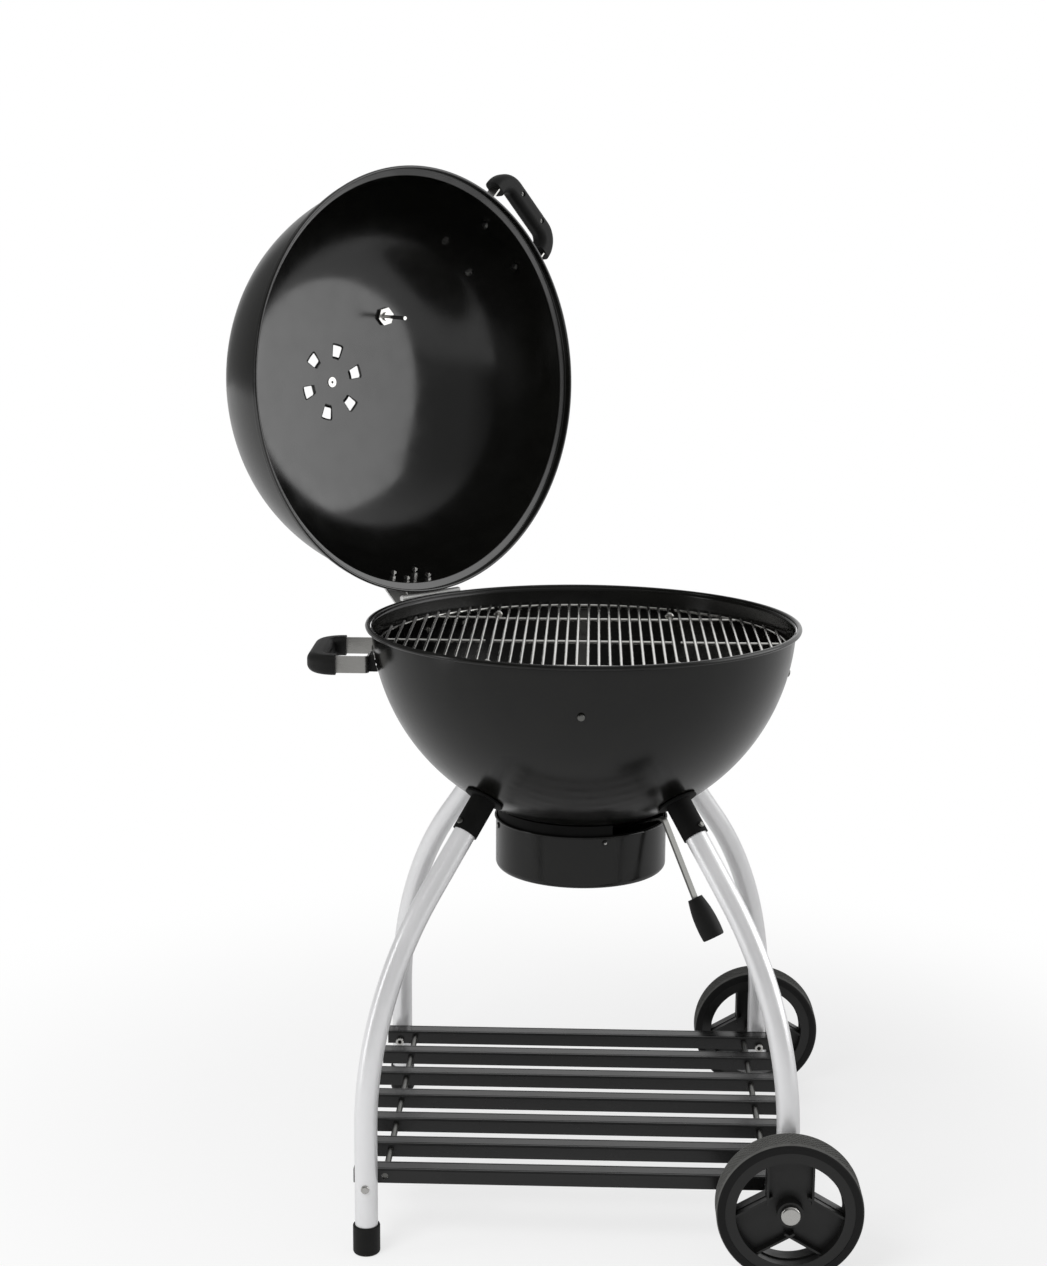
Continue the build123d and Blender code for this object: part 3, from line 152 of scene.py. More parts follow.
def put(name, grids, body, material, replaced=(), sharp=None, kept=None):
    """Piece made of grids of points, where each point joins its neighbours in quads.

    Points that coincide are welded, so poles and seams close. Where cells are cut out, kept marks the rest.
    Edges that bend by more than sharp, in degrees, stay crisp."""
    points, faces, start = [], [], 0
    for grid in grids:
        rows, columns = grid.shape[:2]
        index = np.arange(rows * columns).reshape(rows, columns) + start
        quads = np.stack([index[:-1, :-1], index[:-1, 1:], index[1:, 1:], index[1:, :-1]], axis=-1)
        faces.append(quads.reshape(-1, 4) if kept is None else quads[kept])
        points.append(grid.reshape(-1, 3))
        start += rows * columns
    mesh = bpy.data.meshes.new(name)
    mesh.from_pydata(np.concatenate(points).tolist(), [], np.concatenate(faces).tolist())
    shell = bmesh.new()
    shell.from_mesh(mesh)
    bmesh.ops.remove_doubles(shell, verts=shell.verts, dist=WELD)
    loose = [vertex for vertex in shell.verts if not vertex.link_faces]
    bmesh.ops.delete(shell, geom=loose, context="VERTS")
    shell.to_mesh(mesh)
    shell.free()
    mesh.shade_smooth()
    if sharp is not None:
        mesh.set_sharp_from_angle(angle=math.radians(sharp))
    mesh.materials.append(material)
    piece = bpy.data.objects.new(name, mesh)
    bpy.context.scene.collection.objects.link(piece)
    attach(piece, body)
    if replaced:
        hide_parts(*replaced)
    return piece


def arc(centre, radius, first, last, count):
    """Points (r, z) on a circle's arc between two angles in degrees."""
    angle = np.radians(np.linspace(first, last, count))
    return np.stack([centre[0] + radius * np.cos(angle), centre[1] + radius * np.sin(angle)], axis=1)


def dome(start, angles, radii, inset, counts):
    """Profile of tangent arcs from start to the axis, set in along the normal by inset.

    Each arc runs between two angles of its normal; the last one is centred on the axis."""
    r, z = start
    runs = []
    for index, count in enumerate(counts):
        first, last = np.radians(angles[index]), np.radians(angles[index + 1])
        radius = radii[index] if index < len(radii) else r / np.cos(first)
        centre = (r - radius * np.cos(first), z - radius * np.sin(first))
        runs.append(arc(centre, radius - inset, angles[index], angles[index + 1], count))
        r, z = centre[0] + radius * np.cos(last), centre[1] + radius * np.sin(last)
    return np.concatenate([runs[0]] + [run[1:] for run in runs[1:]])


def full_turn(steps):
    """Angles of a full turn in degrees, from 0 to 360."""
    return np.linspace(0, 360, steps + 1)


def spin(profile, turns):
    """Surface of revolution: the profile's (r, z) at each angle of turns, in degrees, about Z."""
    angle = np.radians(turns)[:, None]
    r, z = profile[None, :, 0], profile[None, :, 1]
    return np.stack([r * np.cos(angle), r * np.sin(angle), z + 0 * angle], axis=-1)


def bead(r, z, radius, sides):
    """Rolled bead: a circle of a radius round (r, z), turned about Z.

    The circle is run through backwards, so that the faces turn outwards."""
    return spin(arc((r, z), radius, 360, 0, sides + 1), full_turn(ROUND_STEPS))


def walled(piece, thickness):
    """Sheet grown from a piece's faces to the side that they turn away from."""
    solid = piece.modifiers.new("sheet", "SOLIDIFY")
    solid.thickness = thickness
    solid.offset = -1
    solid.use_even_offset = True


def cut_turns(count, half, first, steps):
    """Angles of a full turn with lines on both edges of evenly spaced cuts, and which steps are cut.

    Steps are those across a cut and those from one cut to the next."""
    share = 360 / count
    cut = np.linspace(-half, half, steps[0] + 1)[:-1]
    gap = np.linspace(half, share - half, steps[1] + 1)[:-1]
    one = np.concatenate([cut, gap])
    turns = (one + first + share * np.arange(count)[:, None]).ravel()
    return np.append(turns, turns[0] + 360), np.tile(np.arange(len(one)) < steps[0], count)


def uncut(profile, cut_steps, ring):
    """Cells of a turned profile that stay: all but those of the cut steps between a ring's two radii."""
    middle = (profile[:-1, 0] + profile[1:, 0]) / 2
    in_ring = (middle > ring[0]) & (middle < ring[1])
    return ~(cut_steps[:, None] & in_ring)


def snapped(profile, radii):
    """Profile with the points nearest to some radii moved onto them."""
    profile = profile.copy()
    for radius in radii:
        nearest = np.argmin(np.abs(profile[:, 0] - radius))
        profile[nearest, 0] = radius
    return profile


enamel = black_enamel("black_vitreous_enamel", 0.35)
bowl_inside = dome((BOWL_R, RIM_Z), [-BOWL_DRAFT, -BOWL_KNEE, -90], [BOWL_SIDE], SHEET, BOWL_STEPS)
bowl_inside = snapped(bowl_inside, SLOT_R)
bowl_turns, slot_cuts = cut_turns(SLOTS, SLOT_HALF, SLOT_TURN, SLOT_STEPS)
bowl = put("kettle_bowl_sheet", [spin(bowl_inside, bowl_turns)], "stand", enamel,
           ["kettle_bowl"], kept=uncut(bowl_inside, slot_cuts, SLOT_R))
walled(bowl, SHEET)
rim = bead(RIM_R - RIM_BEAD, RIM_Z, RIM_BEAD, BEAD_SIDES)
put("kettle_rim_bead", [rim], "stand", enamel)


# Leg sockets and pot collar. Sleeves with saddle flanges, welded under the bowl, and the ring that
# carries the ash pot, all in a flat black. On the collar, which lies in shade between bowl and pot, the
# flat black is painted shade.
def dress(names, material):
    """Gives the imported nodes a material."""
    for name in names:
        node = nodes[name]
        node.data.materials.clear()
        node.data.materials.append(material)


def sooted_black():
    """Flat black paint, almost without a reflection, a little grey with ash; on the pot collar and in the
    nut recesses it is painted shade.
    """
    shader = {"Base Color": linear("#0a0a0a"), "Roughness": 0.7, "IOR": 1.5, "Specular IOR Level": 0.15}
    material, tree, surface = shaded("flat_black_and_painted_shade", shader)
    vary(tree, surface, grain(tree, 15 * MM, 4), ("#070707", "#121211"))
    return material


black_and_shade = sooted_black()
# Painted shade: the collar is dressed flat black where it lies in shade under the bowl.
dress(["leg_sockets", "pot_collar"], black_and_shade)


# Legs. Bent aluminium tubes with a satin anodised skin, pushed into the sockets and held by a screw.
# Each is straight under the bowl, bends once and stands upright at its foot.
LEG_R = 16 * MM
LEG_WALL = 1.5 * MM
LEG_TILT = 40.8             # degrees that the straight top leans out from upright
LEG_BEND = 483 * MM
LEG_ROOT = (197.5 * MM, RIM_Z - 233 * MM)
LEG_TOP_GAP = 4 * MM        # from the root at the bowl to the tube's end in its socket
LEG_TURNS = {"front_left": -135, "front_right": -45, "rear_left": 135, "rear_right": 45}
LEG_STEPS = (8, 40, 12)     # points in the straight top, the bend and the upright foot
LEG_SIDES = 40
CREASE = 40                 # degrees past which an edge stays crisp


def anodised():
    """Satin anodised aluminium tube: bright, soft highlights and finger-dull patches."""
    shader = {"Base Color": linear("#eeeeef"), "Metallic": 0.5, "Roughness": 0.32}
    material, tree, surface = shaded("satin_anodised_aluminium", shader)
    vary(tree, surface, grain(tree, 60 * MM, 3), ("#eaeaeb", "#f3f3f4"), (0.28, 0.37))
    return material


def leg_line(foot_r, foot_z):
    """Middle line (r, z) of a leg: straight down its tilt, round the bend's arc, then straight down."""
    tilt = math.radians(LEG_TILT)
    lean = np.array([math.sin(tilt), -math.cos(tilt)])
    run = (foot_r - LEG_BEND * (1 + lean[1]) - LEG_ROOT[0]) / lean[0]
    straight = np.array(LEG_ROOT) + np.linspace(LEG_TOP_GAP, run, LEG_STEPS[0])[:, None] * lean
    bend_z = straight[-1, 1] - LEG_BEND * math.sin(tilt)
    bend = arc((foot_r - LEG_BEND, bend_z), LEG_BEND, LEG_TILT, 0, LEG_STEPS[1])
    foot = np.linspace([foot_r, bend_z], [foot_r, foot_z], LEG_STEPS[2])
    return np.concatenate([straight, bend[1:], foot[1:]])


def tube(path, across, radius, wall, sides):
    """Tube along a flat path: rings in the plane of across and the path's normal.

    The rings run down the path at the outer radius, back up it at the bore's, and end on the first."""
    along = np.gradient(path, axis=0)
    along /= np.linalg.norm(along, axis=1, keepdims=True)
    normal = np.cross(across, along)
    angle = np.radians(full_turn(sides))
    ring = normal[:, None] * np.cos(angle)[:, None] + across * np.sin(angle)[:, None]
    outer = path[:, None] + radius * ring
    bore = path[:, None] + (radius - wall) * ring
    return np.concatenate([outer, bore[::-1], outer[:1]])


def upright(points, azimuth):
    """Points (r, z) placed in the upright plane at an azimuth in degrees."""
    points = np.asarray(points)
    turn = np.radians(azimuth)
    return np.stack([points[:, 0] * np.cos(turn), points[:, 0] * np.sin(turn), points[:, 1]], axis=1)


def level_across(azimuth):
    """Level unit direction square to the upright plane at an azimuth."""
    turn = np.radians(azimuth)
    return np.array([-np.sin(turn), np.cos(turn), 0.0])


aluminium = anodised()
for place, azimuth in LEG_TURNS.items():
    leg = "leg_" + place
    low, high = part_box(leg)
    foot_r = math.sqrt(2) * (max(abs(low[0]), abs(high[0])) - LEG_R)
    middle_line = upright(leg_line(foot_r, low[2]), azimuth)
    skin = tube(middle_line, level_across(azimuth), LEG_R, LEG_WALL, LEG_SIDES)
    put(leg + "_tube", [skin], "stand", aluminium, [leg], CREASE)


# Fasteners. Bright stainless on the shelf, wheels, hinge, plate and vent, and dulled zinc-nickel screws
# in the sockets, the kettle's wall and the handles, where only their domed heads show.
def bright_steel():
    """Turned stainless steel: neutral and bright, with a faint haze."""
    shader = {"Base Color": linear("#bebdba"), "Metallic": 1.0, "Roughness": 0.24}
    material, tree, surface = shaded("turned_stainless_steel", shader)
    vary(tree, surface, grain(tree, 6 * MM, 2), ("#b7b6b3", "#c4c3c0"), (0.2, 0.3))
    return material


def dulled_zinc():
    """Black-passivated zinc-nickel: a dark metal that only lights up in small, soft highlights."""
    shader = {"Base Color": linear("#6d6d6a"), "Metallic": 1.0, "Roughness": 0.34}
    material, tree, surface = shaded("black_zinc_nickel", shader)
    vary(tree, surface, grain(tree, 2 * MM, 3), ("#5e5e5c", "#7c7c79"), (0.28, 0.42))
    return material


stainless = bright_steel()
dark_zinc = dulled_zinc()
dress(["wheel_bolts", "wheel_nuts", "shelf_screws", "kettle_hinge_bolts", "lid_hinge_bolts"], stainless)
dress(["plate_rivets", "vent_rivet", "shaft_nut"], stainless)
dress(["socket_screws", "bracket_bolts", "side_handle_bolts", "lid_handle_bolts"], dark_zinc)


# Nut sockets. The six-sided recesses pressed into the four round nuts on the end slats.
# Their floors get no light: a flat black disc in each is painted shade, a dark spot in the middle of each
# nut.
NUT_HEIGHT = 7 * MM
SOCKET_DEEP = 2 * MM
SOCKET_R = 3.0 * MM
SOCKET_LIFT = 0.15 * MM     # how far the painted shade disc stands off the floor
SMALL_STEPS = 24            # steps round a small turned piece


def aimed(shape, centre, axes):
    """Shape with its own x, y and z laid along three axes: centre + x first + y second + z third."""
    return np.asarray(centre) + shape @ np.array(axes)


nut_low, nut_high = (np.array(corner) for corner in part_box("wheel_nuts"))
socket_x, socket_z = (nut_low[0] + nut_high[0]) / 2, (nut_low[2] + nut_high[2]) / 2
socket_y = nut_high[1] - NUT_HEIGHT + SOCKET_DEEP
spot_top = [[0, SOCKET_LIFT], [SOCKET_R - SOCKET_LIFT, SOCKET_LIFT], [SOCKET_R, SOCKET_LIFT / 3]]
spot = spin(np.array(spot_top + [[SOCKET_R, 0], [0, 0]]), full_turn(SMALL_STEPS))
spots = []
for side in (-1, 1):
    for x in (-socket_x, socket_x):
        spots.append(aimed(spot, [x, side * socket_y, socket_z], [[1, 0, 0], [0, 0, side], [0, -side, 0]]))
# Painted shade: one flat black disc on the floor of each nut's recess.
put("nut_socket_painted_shade", spots, "stand", black_and_shade, sharp=CREASE)


# Grips, pads and end caps. Black glass-filled nylon, moulded with a fine spark-eroded grain.
# A grip closes round its handle's bracket in two halves; the caps are pushed on or into the legs' ends.
def moulded_plastic():
    """Moulded nylon: nearly black, dull, with a grain that breaks up its highlights.

    The grain is drawn coarser than the real one, so that it shows."""
    shader = {"Base Color": linear("#181818"), "Roughness": 0.46, "IOR": 1.5, "Specular IOR Level": 0.16}
    material, tree, surface = shaded("moulded_black_nylon", shader)
    spark = grain(tree, 0.8 * MM, 3)
    vary(tree, surface, grain(tree, 25 * MM, 2), colours=("#151515", "#1c1c1b"))
    vary(tree, surface, spark, roughness=(0.44, 0.6))
    emboss(tree, surface, (spark, 0.06 * MM, 0.6))
    return material


nylon = moulded_plastic()
dress(["leg_end_caps", "side_handle_pads", "lid_handle_pads"], nylon)
dress(["side_grip_top", "side_grip_bottom", "lid_grip_top", "lid_grip_bottom"], nylon)


# Shelf. Seven slats with a satin black powder coat, each a channel that is open below.
# Two rods thread them together, and screws hold the end ones to the legs.
SLATS = 7


def powder_coat():
    """Satin powder coat on metal: dark grey-black with a fine pebbled skin."""
    shader = {"Base Color": linear("#191919"), "Roughness": 0.26, "IOR": 1.5, "Specular IOR Level": 0.4}
    material, tree, surface = shaded("satin_black_powder_coat", shader)
    vary(tree, surface, grain(tree, 80 * MM, 2), ("#151515", "#1e1e1e"), (0.22, 0.3))
    emboss(tree, surface, (grain(tree, 1.2 * MM, 2), 0.03 * MM, 0.5))
    return material


dress(["slat_" + str(number + 1) for number in range(SLATS)], powder_coat())
dress(["shelf_rods"], dark_zinc)


# Wheels. Black moulded wheels with a grey rubber tread, turning on shoulder bolts.
# The tread is cut by grooves round it and by short cross cuts that are staggered from rib to rib.
TREAD_INNER = 88.05 * MM
TREAD_ROUND = 5 * MM
TREAD_CREASE = 35           # degrees past which an edge of the tread stays crisp
SHOULDER_STEPS = 7
WALL_FOOT = 4 * MM          # height of the sidewall's lowest band
GROOVES = 9
GROOVE_PITCH = 3.6 * MM
GROOVE_HALF = (0.5 * MM, 0.65 * MM)     # half widths of a groove's bottom and mouth
GROOVE_DEEP = 1.2 * MM
CUT_DEEP = 1.0 * MM
CUT_COUNT = 90
CUT_STEPS = 8               # steps from one cross cut to the next
CUT_WIDE = 2                # of these, how many a cut takes
SIDEWALL = 20.6 * MM        # from the wheel's middle plane to where the rubber is black
SIDEWALL_FADE = 0.6 * MM
WHEEL_Y = (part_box("tyre_rear")[0][1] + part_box("tyre_rear")[1][1]) / 2


def tread_rubber():
    """Tread rubber: dull grey and dusty on the tread, black on the sidewalls."""
    shader = {"Base Color": linear("#3b3b3a"), "Roughness": 0.75, "IOR": 1.45, "Specular IOR Level": 0.35}
    material, tree, surface = shaded("grey_tread_rubber", shader)
    place = add(tree, "ShaderNodeTexCoord").outputs["Object"]
    out = add(tree, "ShaderNodeSeparateXYZ", {"Vector": place}).outputs["Y"]
    out = add(tree, "ShaderNodeMath", {0: out}, operation="ABSOLUTE").outputs[0]
    out = add(tree, "ShaderNodeMath", {0: out, 1: WHEEL_Y}, operation="SUBTRACT").outputs[0]
    out = add(tree, "ShaderNodeMath", {0: out}, operation="ABSOLUTE").outputs[0]
    edge = {"Value": out, "From Min": SIDEWALL - SIDEWALL_FADE, "From Max": SIDEWALL}
    wall = add(tree, "ShaderNodeMapRange", edge).outputs[0]
    dust = {0: grain(tree, 12 * MM, 4), 6: linear("#4c4c4a"), 7: linear("#646462")}
    worn = add(tree, "ShaderNodeMix", dust, data_type="RGBA").outputs[2]
    both = {0: wall, 6: worn, 7: linear("#141414")}
    mixed = add(tree, "ShaderNodeMix", both, data_type="RGBA").outputs[2]
    tree.links.new(mixed, surface.inputs["Base Color"])
    emboss(tree, surface, (grain(tree, 1.0 * MM, 2), 0.08 * MM, 0.6))
    return material


def wheel_plastic():
    """Moulded polypropylene: black with a low sheen and a faint flow mottle."""
    shader = {"Base Color": linear("#121212"), "Roughness": 0.38, "IOR": 1.49, "Specular IOR Level": 0.45}
    material, tree, surface = shaded("moulded_black_polypropylene", shader)
    vary(tree, surface, grain(tree, 14 * MM, 3), ("#0e0e0e", "#181817"), (0.33, 0.45))
    emboss(tree, surface, (grain(tree, 1.2 * MM, 2), 0.03 * MM, 0.4))
    return material


def tread(name):
    """Tyre ring about Y: a rounded section turned through a full circle.

    Its radius drops by the groove's depth in each groove, and by the cut's depth over a quarter of
    each pitch round it, where every second rib is half a pitch on."""
    low, high = (np.array(corner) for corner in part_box(name))
    middle, half, outer = (low + high) / 2, (high[1] - low[1]) / 2, (high[2] - low[2]) / 2
    groove = (np.arange(GROOVES) - (GROOVES - 1) / 2) * GROOVE_PITCH
    bottom, mouth = GROOVE_HALF
    across = (groove[:, None] + [-mouth, -bottom, bottom, mouth]).ravel()
    sunk = np.tile([0, GROOVE_DEEP, GROOVE_DEEP, 0], GROOVES)
    rib = np.repeat(np.arange(GROOVES), 4) + np.tile([0, 0, 1, 1], GROOVES)
    step = np.arange(CUT_COUNT * CUT_STEPS + 1)[:, None]
    phase = (step + rib * (CUT_STEPS // 2)) % CUT_STEPS
    inner_rib = (rib > 0) & (rib < GROOVES)
    radius = outer - np.maximum(sunk, CUT_DEEP * ((phase < CUT_WIDE) & inner_rib))
    shoulder = arc((half - TREAD_ROUND, outer - TREAD_ROUND), TREAD_ROUND, 90, 0, SHOULDER_STEPS)
    side = np.concatenate([shoulder, [[half, TREAD_INNER + WALL_FOOT], [half, TREAD_INNER]]])
    width = np.concatenate([-side[::-1, 0], across, side[:, 0], -side[-1:, 0]])
    whole = np.ones(step.shape)
    sides = [whole * side[::-1, 1], radius, whole * side[:, 1], whole * side[-1, 1]]
    reach = np.concatenate(sides, axis=1)
    angle = 2 * np.pi * step / (CUT_COUNT * CUT_STEPS)
    ring = [reach * np.cos(angle), width + 0 * angle, reach * np.sin(angle)]
    return middle + np.stack(ring, axis=-1)


rubber = tread_rubber()
for place in ("front", "rear"):
    tyre = "tyre_" + place
    put(tyre + "_tread", [tread(tyre)], place + "_wheel", rubber, [tyre], TREAD_CREASE)
dress(["wheel_front", "wheel_rear"], wheel_plastic())


# Ash pot. Deep drawn pot in the same enamel, with a rolled rim. Its four bayonet studs are riveted
# through the wall, and a small bright steel dome in the middle of each enamelled head is a painted
# highlight.
POT_BEAD = 1.6 * MM
POT_LIP = 2.2 * MM          # how far the rim stands out past the wall
STUDS = 4
STUD_TURN = 16.4            # azimuth of the first stud
STUD_DROP = 8.5 * MM        # from the rim bead's middle down to the studs
STUD_FACE = 2.0 * MM        # from the wall out to the face of a stud's head
GLINT_R = 2.0 * MM
GLINT_HIGH = 1.0 * MM
GLINT_SUNK = 0.2 * MM       # how far a painted highlight's dome reaches into the head
GLINT_STEPS = 9
pot_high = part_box("ash_pot")[1]
stud_at = [pot_high[0] - POT_LIP + STUD_FACE, pot_high[2] - POT_BEAD - STUD_DROP]
crown_r = (GLINT_R ** 2 + GLINT_HIGH ** 2) / (2 * GLINT_HIGH)
crown_low = math.degrees(math.asin((crown_r - GLINT_HIGH) / crown_r))
glint_dome = arc((0, GLINT_HIGH - crown_r), crown_r, 90, crown_low, GLINT_STEPS)
glint_dome = np.concatenate([glint_dome, [[GLINT_R, -GLINT_SUNK], [0, -GLINT_SUNK]]])
glint_dome = spin(glint_dome, full_turn(SMALL_STEPS))
glint_domes = []
for azimuth in STUD_TURN + full_turn(STUDS)[:-1]:
    outward = upright([[1, 0]], azimuth)[0]
    glint_domes.append(aimed(glint_dome, upright([stud_at], azimuth)[0], [level_across(azimuth), [0, 0, 1], outward]))
dress(["ash_pot"], enamel)
# Painted highlights: a small bright steel dome in the middle of each stud head.
put("pot_stud_painted_highlights", glint_domes, "pot", stainless, sharp=CREASE)


# Strip pieces. The ash sweeper, the handles' brackets, the vent's damper and the blank plate are cut from
# brushed stainless strip. The lever that turns the sweeper is in dark zinc-nickel, with a moulded grip on
# its end, and so are the strips that are bolted inside the bowl to carry the grates.
BRUSH_STRETCH = (0.06, 0.06, 1)


def brushed_steel():
    """Brushed stainless strip: bright with fine lines along it and soft stretched highlights.

    The lines are drawn coarser than the real ones, so that they show."""
    shader = {"Base Color": linear("#a3a29f"), "Metallic": 1.0, "Roughness": 0.3}
    material, tree, surface = shaded("brushed_stainless_strip", shader)
    lines = grain(tree, 0.7 * MM, 2, BRUSH_STRETCH)
    vary(tree, surface, grain(tree, 20 * MM, 2), colours=("#999895", "#acaba8"))
    vary(tree, surface, lines, roughness=(0.26, 0.36))
    emboss(tree, surface, (lines, 0.004 * MM, 0.5))
    return material


strip_pieces = ["sweeper", "side_handle_bracket", "lid_handle_bracket", "vent_damper", "name_plate"]
dress(strip_pieces, brushed_steel())
dress(["air_lever", "grate_brackets"], dark_zinc)
dress(["lever_grip"], nylon)


# Hinge. Two leaves rolled into knuckles round a pin, and the fixed leaf's tongue that the open lid
# rests on. Pressed steel with zinc plating, in a colour painted paler and matter than the zinc: painted
# light, which lifts the tongue that lies in the open lid's shade.
def matt_zinc():
    """Zinc plating painted paler and matter than it is, as painted light: a pale, even grey without a
    mirror, faintly clouded.
    """
    shader = {"Base Color": linear("#dededc"), "Metallic": 0.15, "Roughness": 0.5}
    material, tree, surface = shaded("zinc_plate_with_painted_light", shader)
    vary(tree, surface, grain(tree, 8 * MM, 3), ("#d4d4d2", "#e7e7e5"), (0.44, 0.58))
    return material


# Painted light: the leaves and pin are coloured pale so that the shaded tongue reads bright.
dress(["kettle_hinge_leaf", "lid_hinge_leaf", "hinge_pin"], matt_zinc())


# Grates. Round steel wire, welded and bright plated. The cooking grate carries a flap at each side,
# and the charcoal grate lies below it on the same brackets.
def plated_wire():
    """Bright plated wire: mirror-like, with a faint haze."""
    shader = {"Base Color": linear("#d6d5d1"), "Metallic": 1.0, "Roughness": 0.17}
    material, tree, surface = shaded("bright_plated_wire", shader)
    vary(tree, surface, grain(tree, 9 * MM, 3), ("#cbcac6", "#e0dfdb"), (0.13, 0.24))
    return material


dress(["cooking_grate", "grate_flap_left", "grate_flap_right", "charcoal_grate"], plated_wire())


# Lid. Deep drawn dome in a glossier coat of the enamel, with a seat ledge that rests on the bowl's bead,
# a shallow skirt and a small rolled bead. It is drawn closed and swung open about the hinge.
LID_WALL_R = 310.3 * MM
LID_LEDGE = 5.25 * MM       # from the rim's middle up to where the dome begins
LID_ANGLES = [4.3, 27.3, 82.9, 90]      # of the dome's normal, where its arcs begin and end
LID_RADII = [285 * MM, 166 * MM]
LID_STEPS = (24, 40, 40)
SEAT_TOP = 5.85 * MM
SEAT_LEAN = 12.0            # degrees that the ledge falls outwards
SEAT_ROUNDS = (1.2 * MM, 1.4 * MM)      # where the ledge meets the skirt and the dome
SEAT_STEPS = 5
SKIRT_R = 321.1 * MM
SKIRT_DROP = 6.5 * MM
SKIRT_BEAD = 2.3 * MM
SKIRT_SIDES = 16
VENTS = 6
VENT_RING = (41 * MM, 59 * MM)
VENT_HALF = 10.0            # degrees, half a vent hole's width
VENT_TURN = 32.0            # azimuth of the first hole
VENT_STEPS = (10, 24)       # steps across a hole and between two
hinge = next(joint for joint in frame["joints"] if joint["name"] == "lid_hinge")
HINGE_AT = np.array(hinge["pos_m"])
OPEN = math.radians(-hinge["range_deg"][0])


def swung(points):
    """Points of the closed lid turned about the hinge to its rest, wide open.

    A turn by an angle about a unit axis: v cos + (axis x v) sin + axis (axis . v) (1 - cos)."""
    axis = np.array(hinge["axis"]) / np.linalg.norm(hinge["axis"])
    reach = points - HINGE_AT
    turned = reach * math.cos(OPEN) + np.cross(axis, reach) * math.sin(OPEN)
    turned += (reach @ axis)[..., None] * axis * (1 - math.cos(OPEN))
    return turned + HINGE_AT


def lid_section():
    """Profile (r, z) of the closed lid's inside: up the skirt, in along the ledge and over the dome.

    The ledge is a leaning line; a round's middle stands on a line beside it, a radius below or above."""
    skirt_r, wall_r = SKIRT_R - SHEET, LID_WALL_R - SHEET
    lean = math.radians(SEAT_LEAN)
    reach = math.sin(lean) * wall_r + math.cos(lean) * (RIM_Z + SEAT_TOP - SHEET)
    middles = []
    rounds = ((skirt_r - SEAT_ROUNDS[0], -SEAT_ROUNDS[0]), (wall_r + SEAT_ROUNDS[1], SEAT_ROUNDS[1]))
    for r, beside in rounds:
        middles.append((r, (reach + beside - math.sin(lean) * r) / math.cos(lean)))
    skirt = [[skirt_r, RIM_Z - SKIRT_DROP], [skirt_r, RIM_Z - SKIRT_DROP / 2]]
    outer = arc(middles[0], SEAT_ROUNDS[0], 0, 90 - SEAT_LEAN, SEAT_STEPS)
    inner = arc(middles[1], SEAT_ROUNDS[1], 270 - SEAT_LEAN, 180 + LID_ANGLES[0], SEAT_STEPS)
    over = dome((LID_WALL_R, RIM_Z + LID_LEDGE), LID_ANGLES, LID_RADII, SHEET, LID_STEPS)
    return np.concatenate([skirt, outer, inner, snapped(over, VENT_RING)[1:]])


lid_enamel = black_enamel("glossy_black_vitreous_enamel", 0.65)
lid_inside = lid_section()
lid_turns, vent_cuts = cut_turns(VENTS, VENT_HALF, VENT_TURN, VENT_STEPS)
lid = put("lid_sheet", [swung(spin(lid_inside, lid_turns))], "lid", lid_enamel,
          ["lid_dome"], CREASE, uncut(lid_inside, vent_cuts, VENT_RING))
walled(lid, SHEET)
skirt_edge = bead(SKIRT_R, RIM_Z - SKIRT_DROP, SKIRT_BEAD, SKIRT_SIDES)
put("lid_skirt_bead", [swung(skirt_edge)], "lid", lid_enamel)


# Thermometer. Polished steel case with a pale dial under glass, a black pointer and a stem through
# the lid. The dial is a printed disc with a scale of plain numbers, set on the floor of the case.
DIAL_DEEP = 7 * MM          # from the case's top down to the dial
DIAL_R = 23.6 * MM
DIAL_SHEET = 0.3 * MM       # also the width of its chamfer
DIAL_STEPS = 96
INK_LIFT = 0.05 * MM
TICKS = 36
TICK_RING = (19.6 * MM, 22.6 * MM)
TICK_HALF = (0.16 * MM, 0.32 * MM)      # half widths of a thin tick and a broad one
BROAD_EVERY = 5
NUMBERS = 8
NUMBER_STEP = 50
NUMBER_R = 15.6 * MM
NUMBER_HEIGHT = 4.2 * MM
THERMO_TURN = 4.0           # azimuth of the thermometer on the closed lid
pointer_joint = next(joint for joint in frame["joints"] if joint["name"] == "thermometer_turn")
SWEEP = math.radians(pointer_joint["range_deg"][0])


def polished_steel():
    """Polished steel case: bright, with a soft haze."""
    shader = {"Base Color": linear("#d0cfcc"), "Metallic": 1.0, "Roughness": 0.15}
    material, tree, surface = shaded("polished_steel_case", shader)
    vary(tree, surface, grain(tree, 10 * MM, 3), roughness=(0.1, 0.22))
    return material


def clear_glass():
    """Flat clear glass: the dial shows through it, under a faint sharp reflection."""
    shader = {"Base Color": (1, 1, 1, 1), "Roughness": 0.02, "IOR": 1.5, "Transmission Weight": 1.0}
    return shaded("clear_flat_glass", shader)[0]


def dial_paint():
    """Pale lacquer on the dial's disc: off-white, even, slightly satin."""
    shader = {"Base Color": linear("#e6e4dd"), "Roughness": 0.45, "IOR": 1.5}
    material, tree, surface = shaded("pale_dial_lacquer", shader)
    vary(tree, surface, grain(tree, 6 * MM, 3), ("#e0ded6", "#ecebe5"))
    return material


def dial_ink():
    """Black printing ink on the dial: flat, slightly uneven."""
    shader = {"Base Color": linear("#161616"), "Roughness": 0.55, "IOR": 1.5}
    material, tree, surface = shaded("black_dial_ink", shader)
    vary(tree, surface, grain(tree, 2 * MM, 2), ("#121212", "#1e1e1e"))
    return material


def mesh_points(mesh):
    """Vertices of a mesh as rows of x, y, z."""
    points = np.empty(len(mesh.vertices) * 3)
    mesh.vertices.foreach_get("co", points)
    return points.reshape(-1, 3)


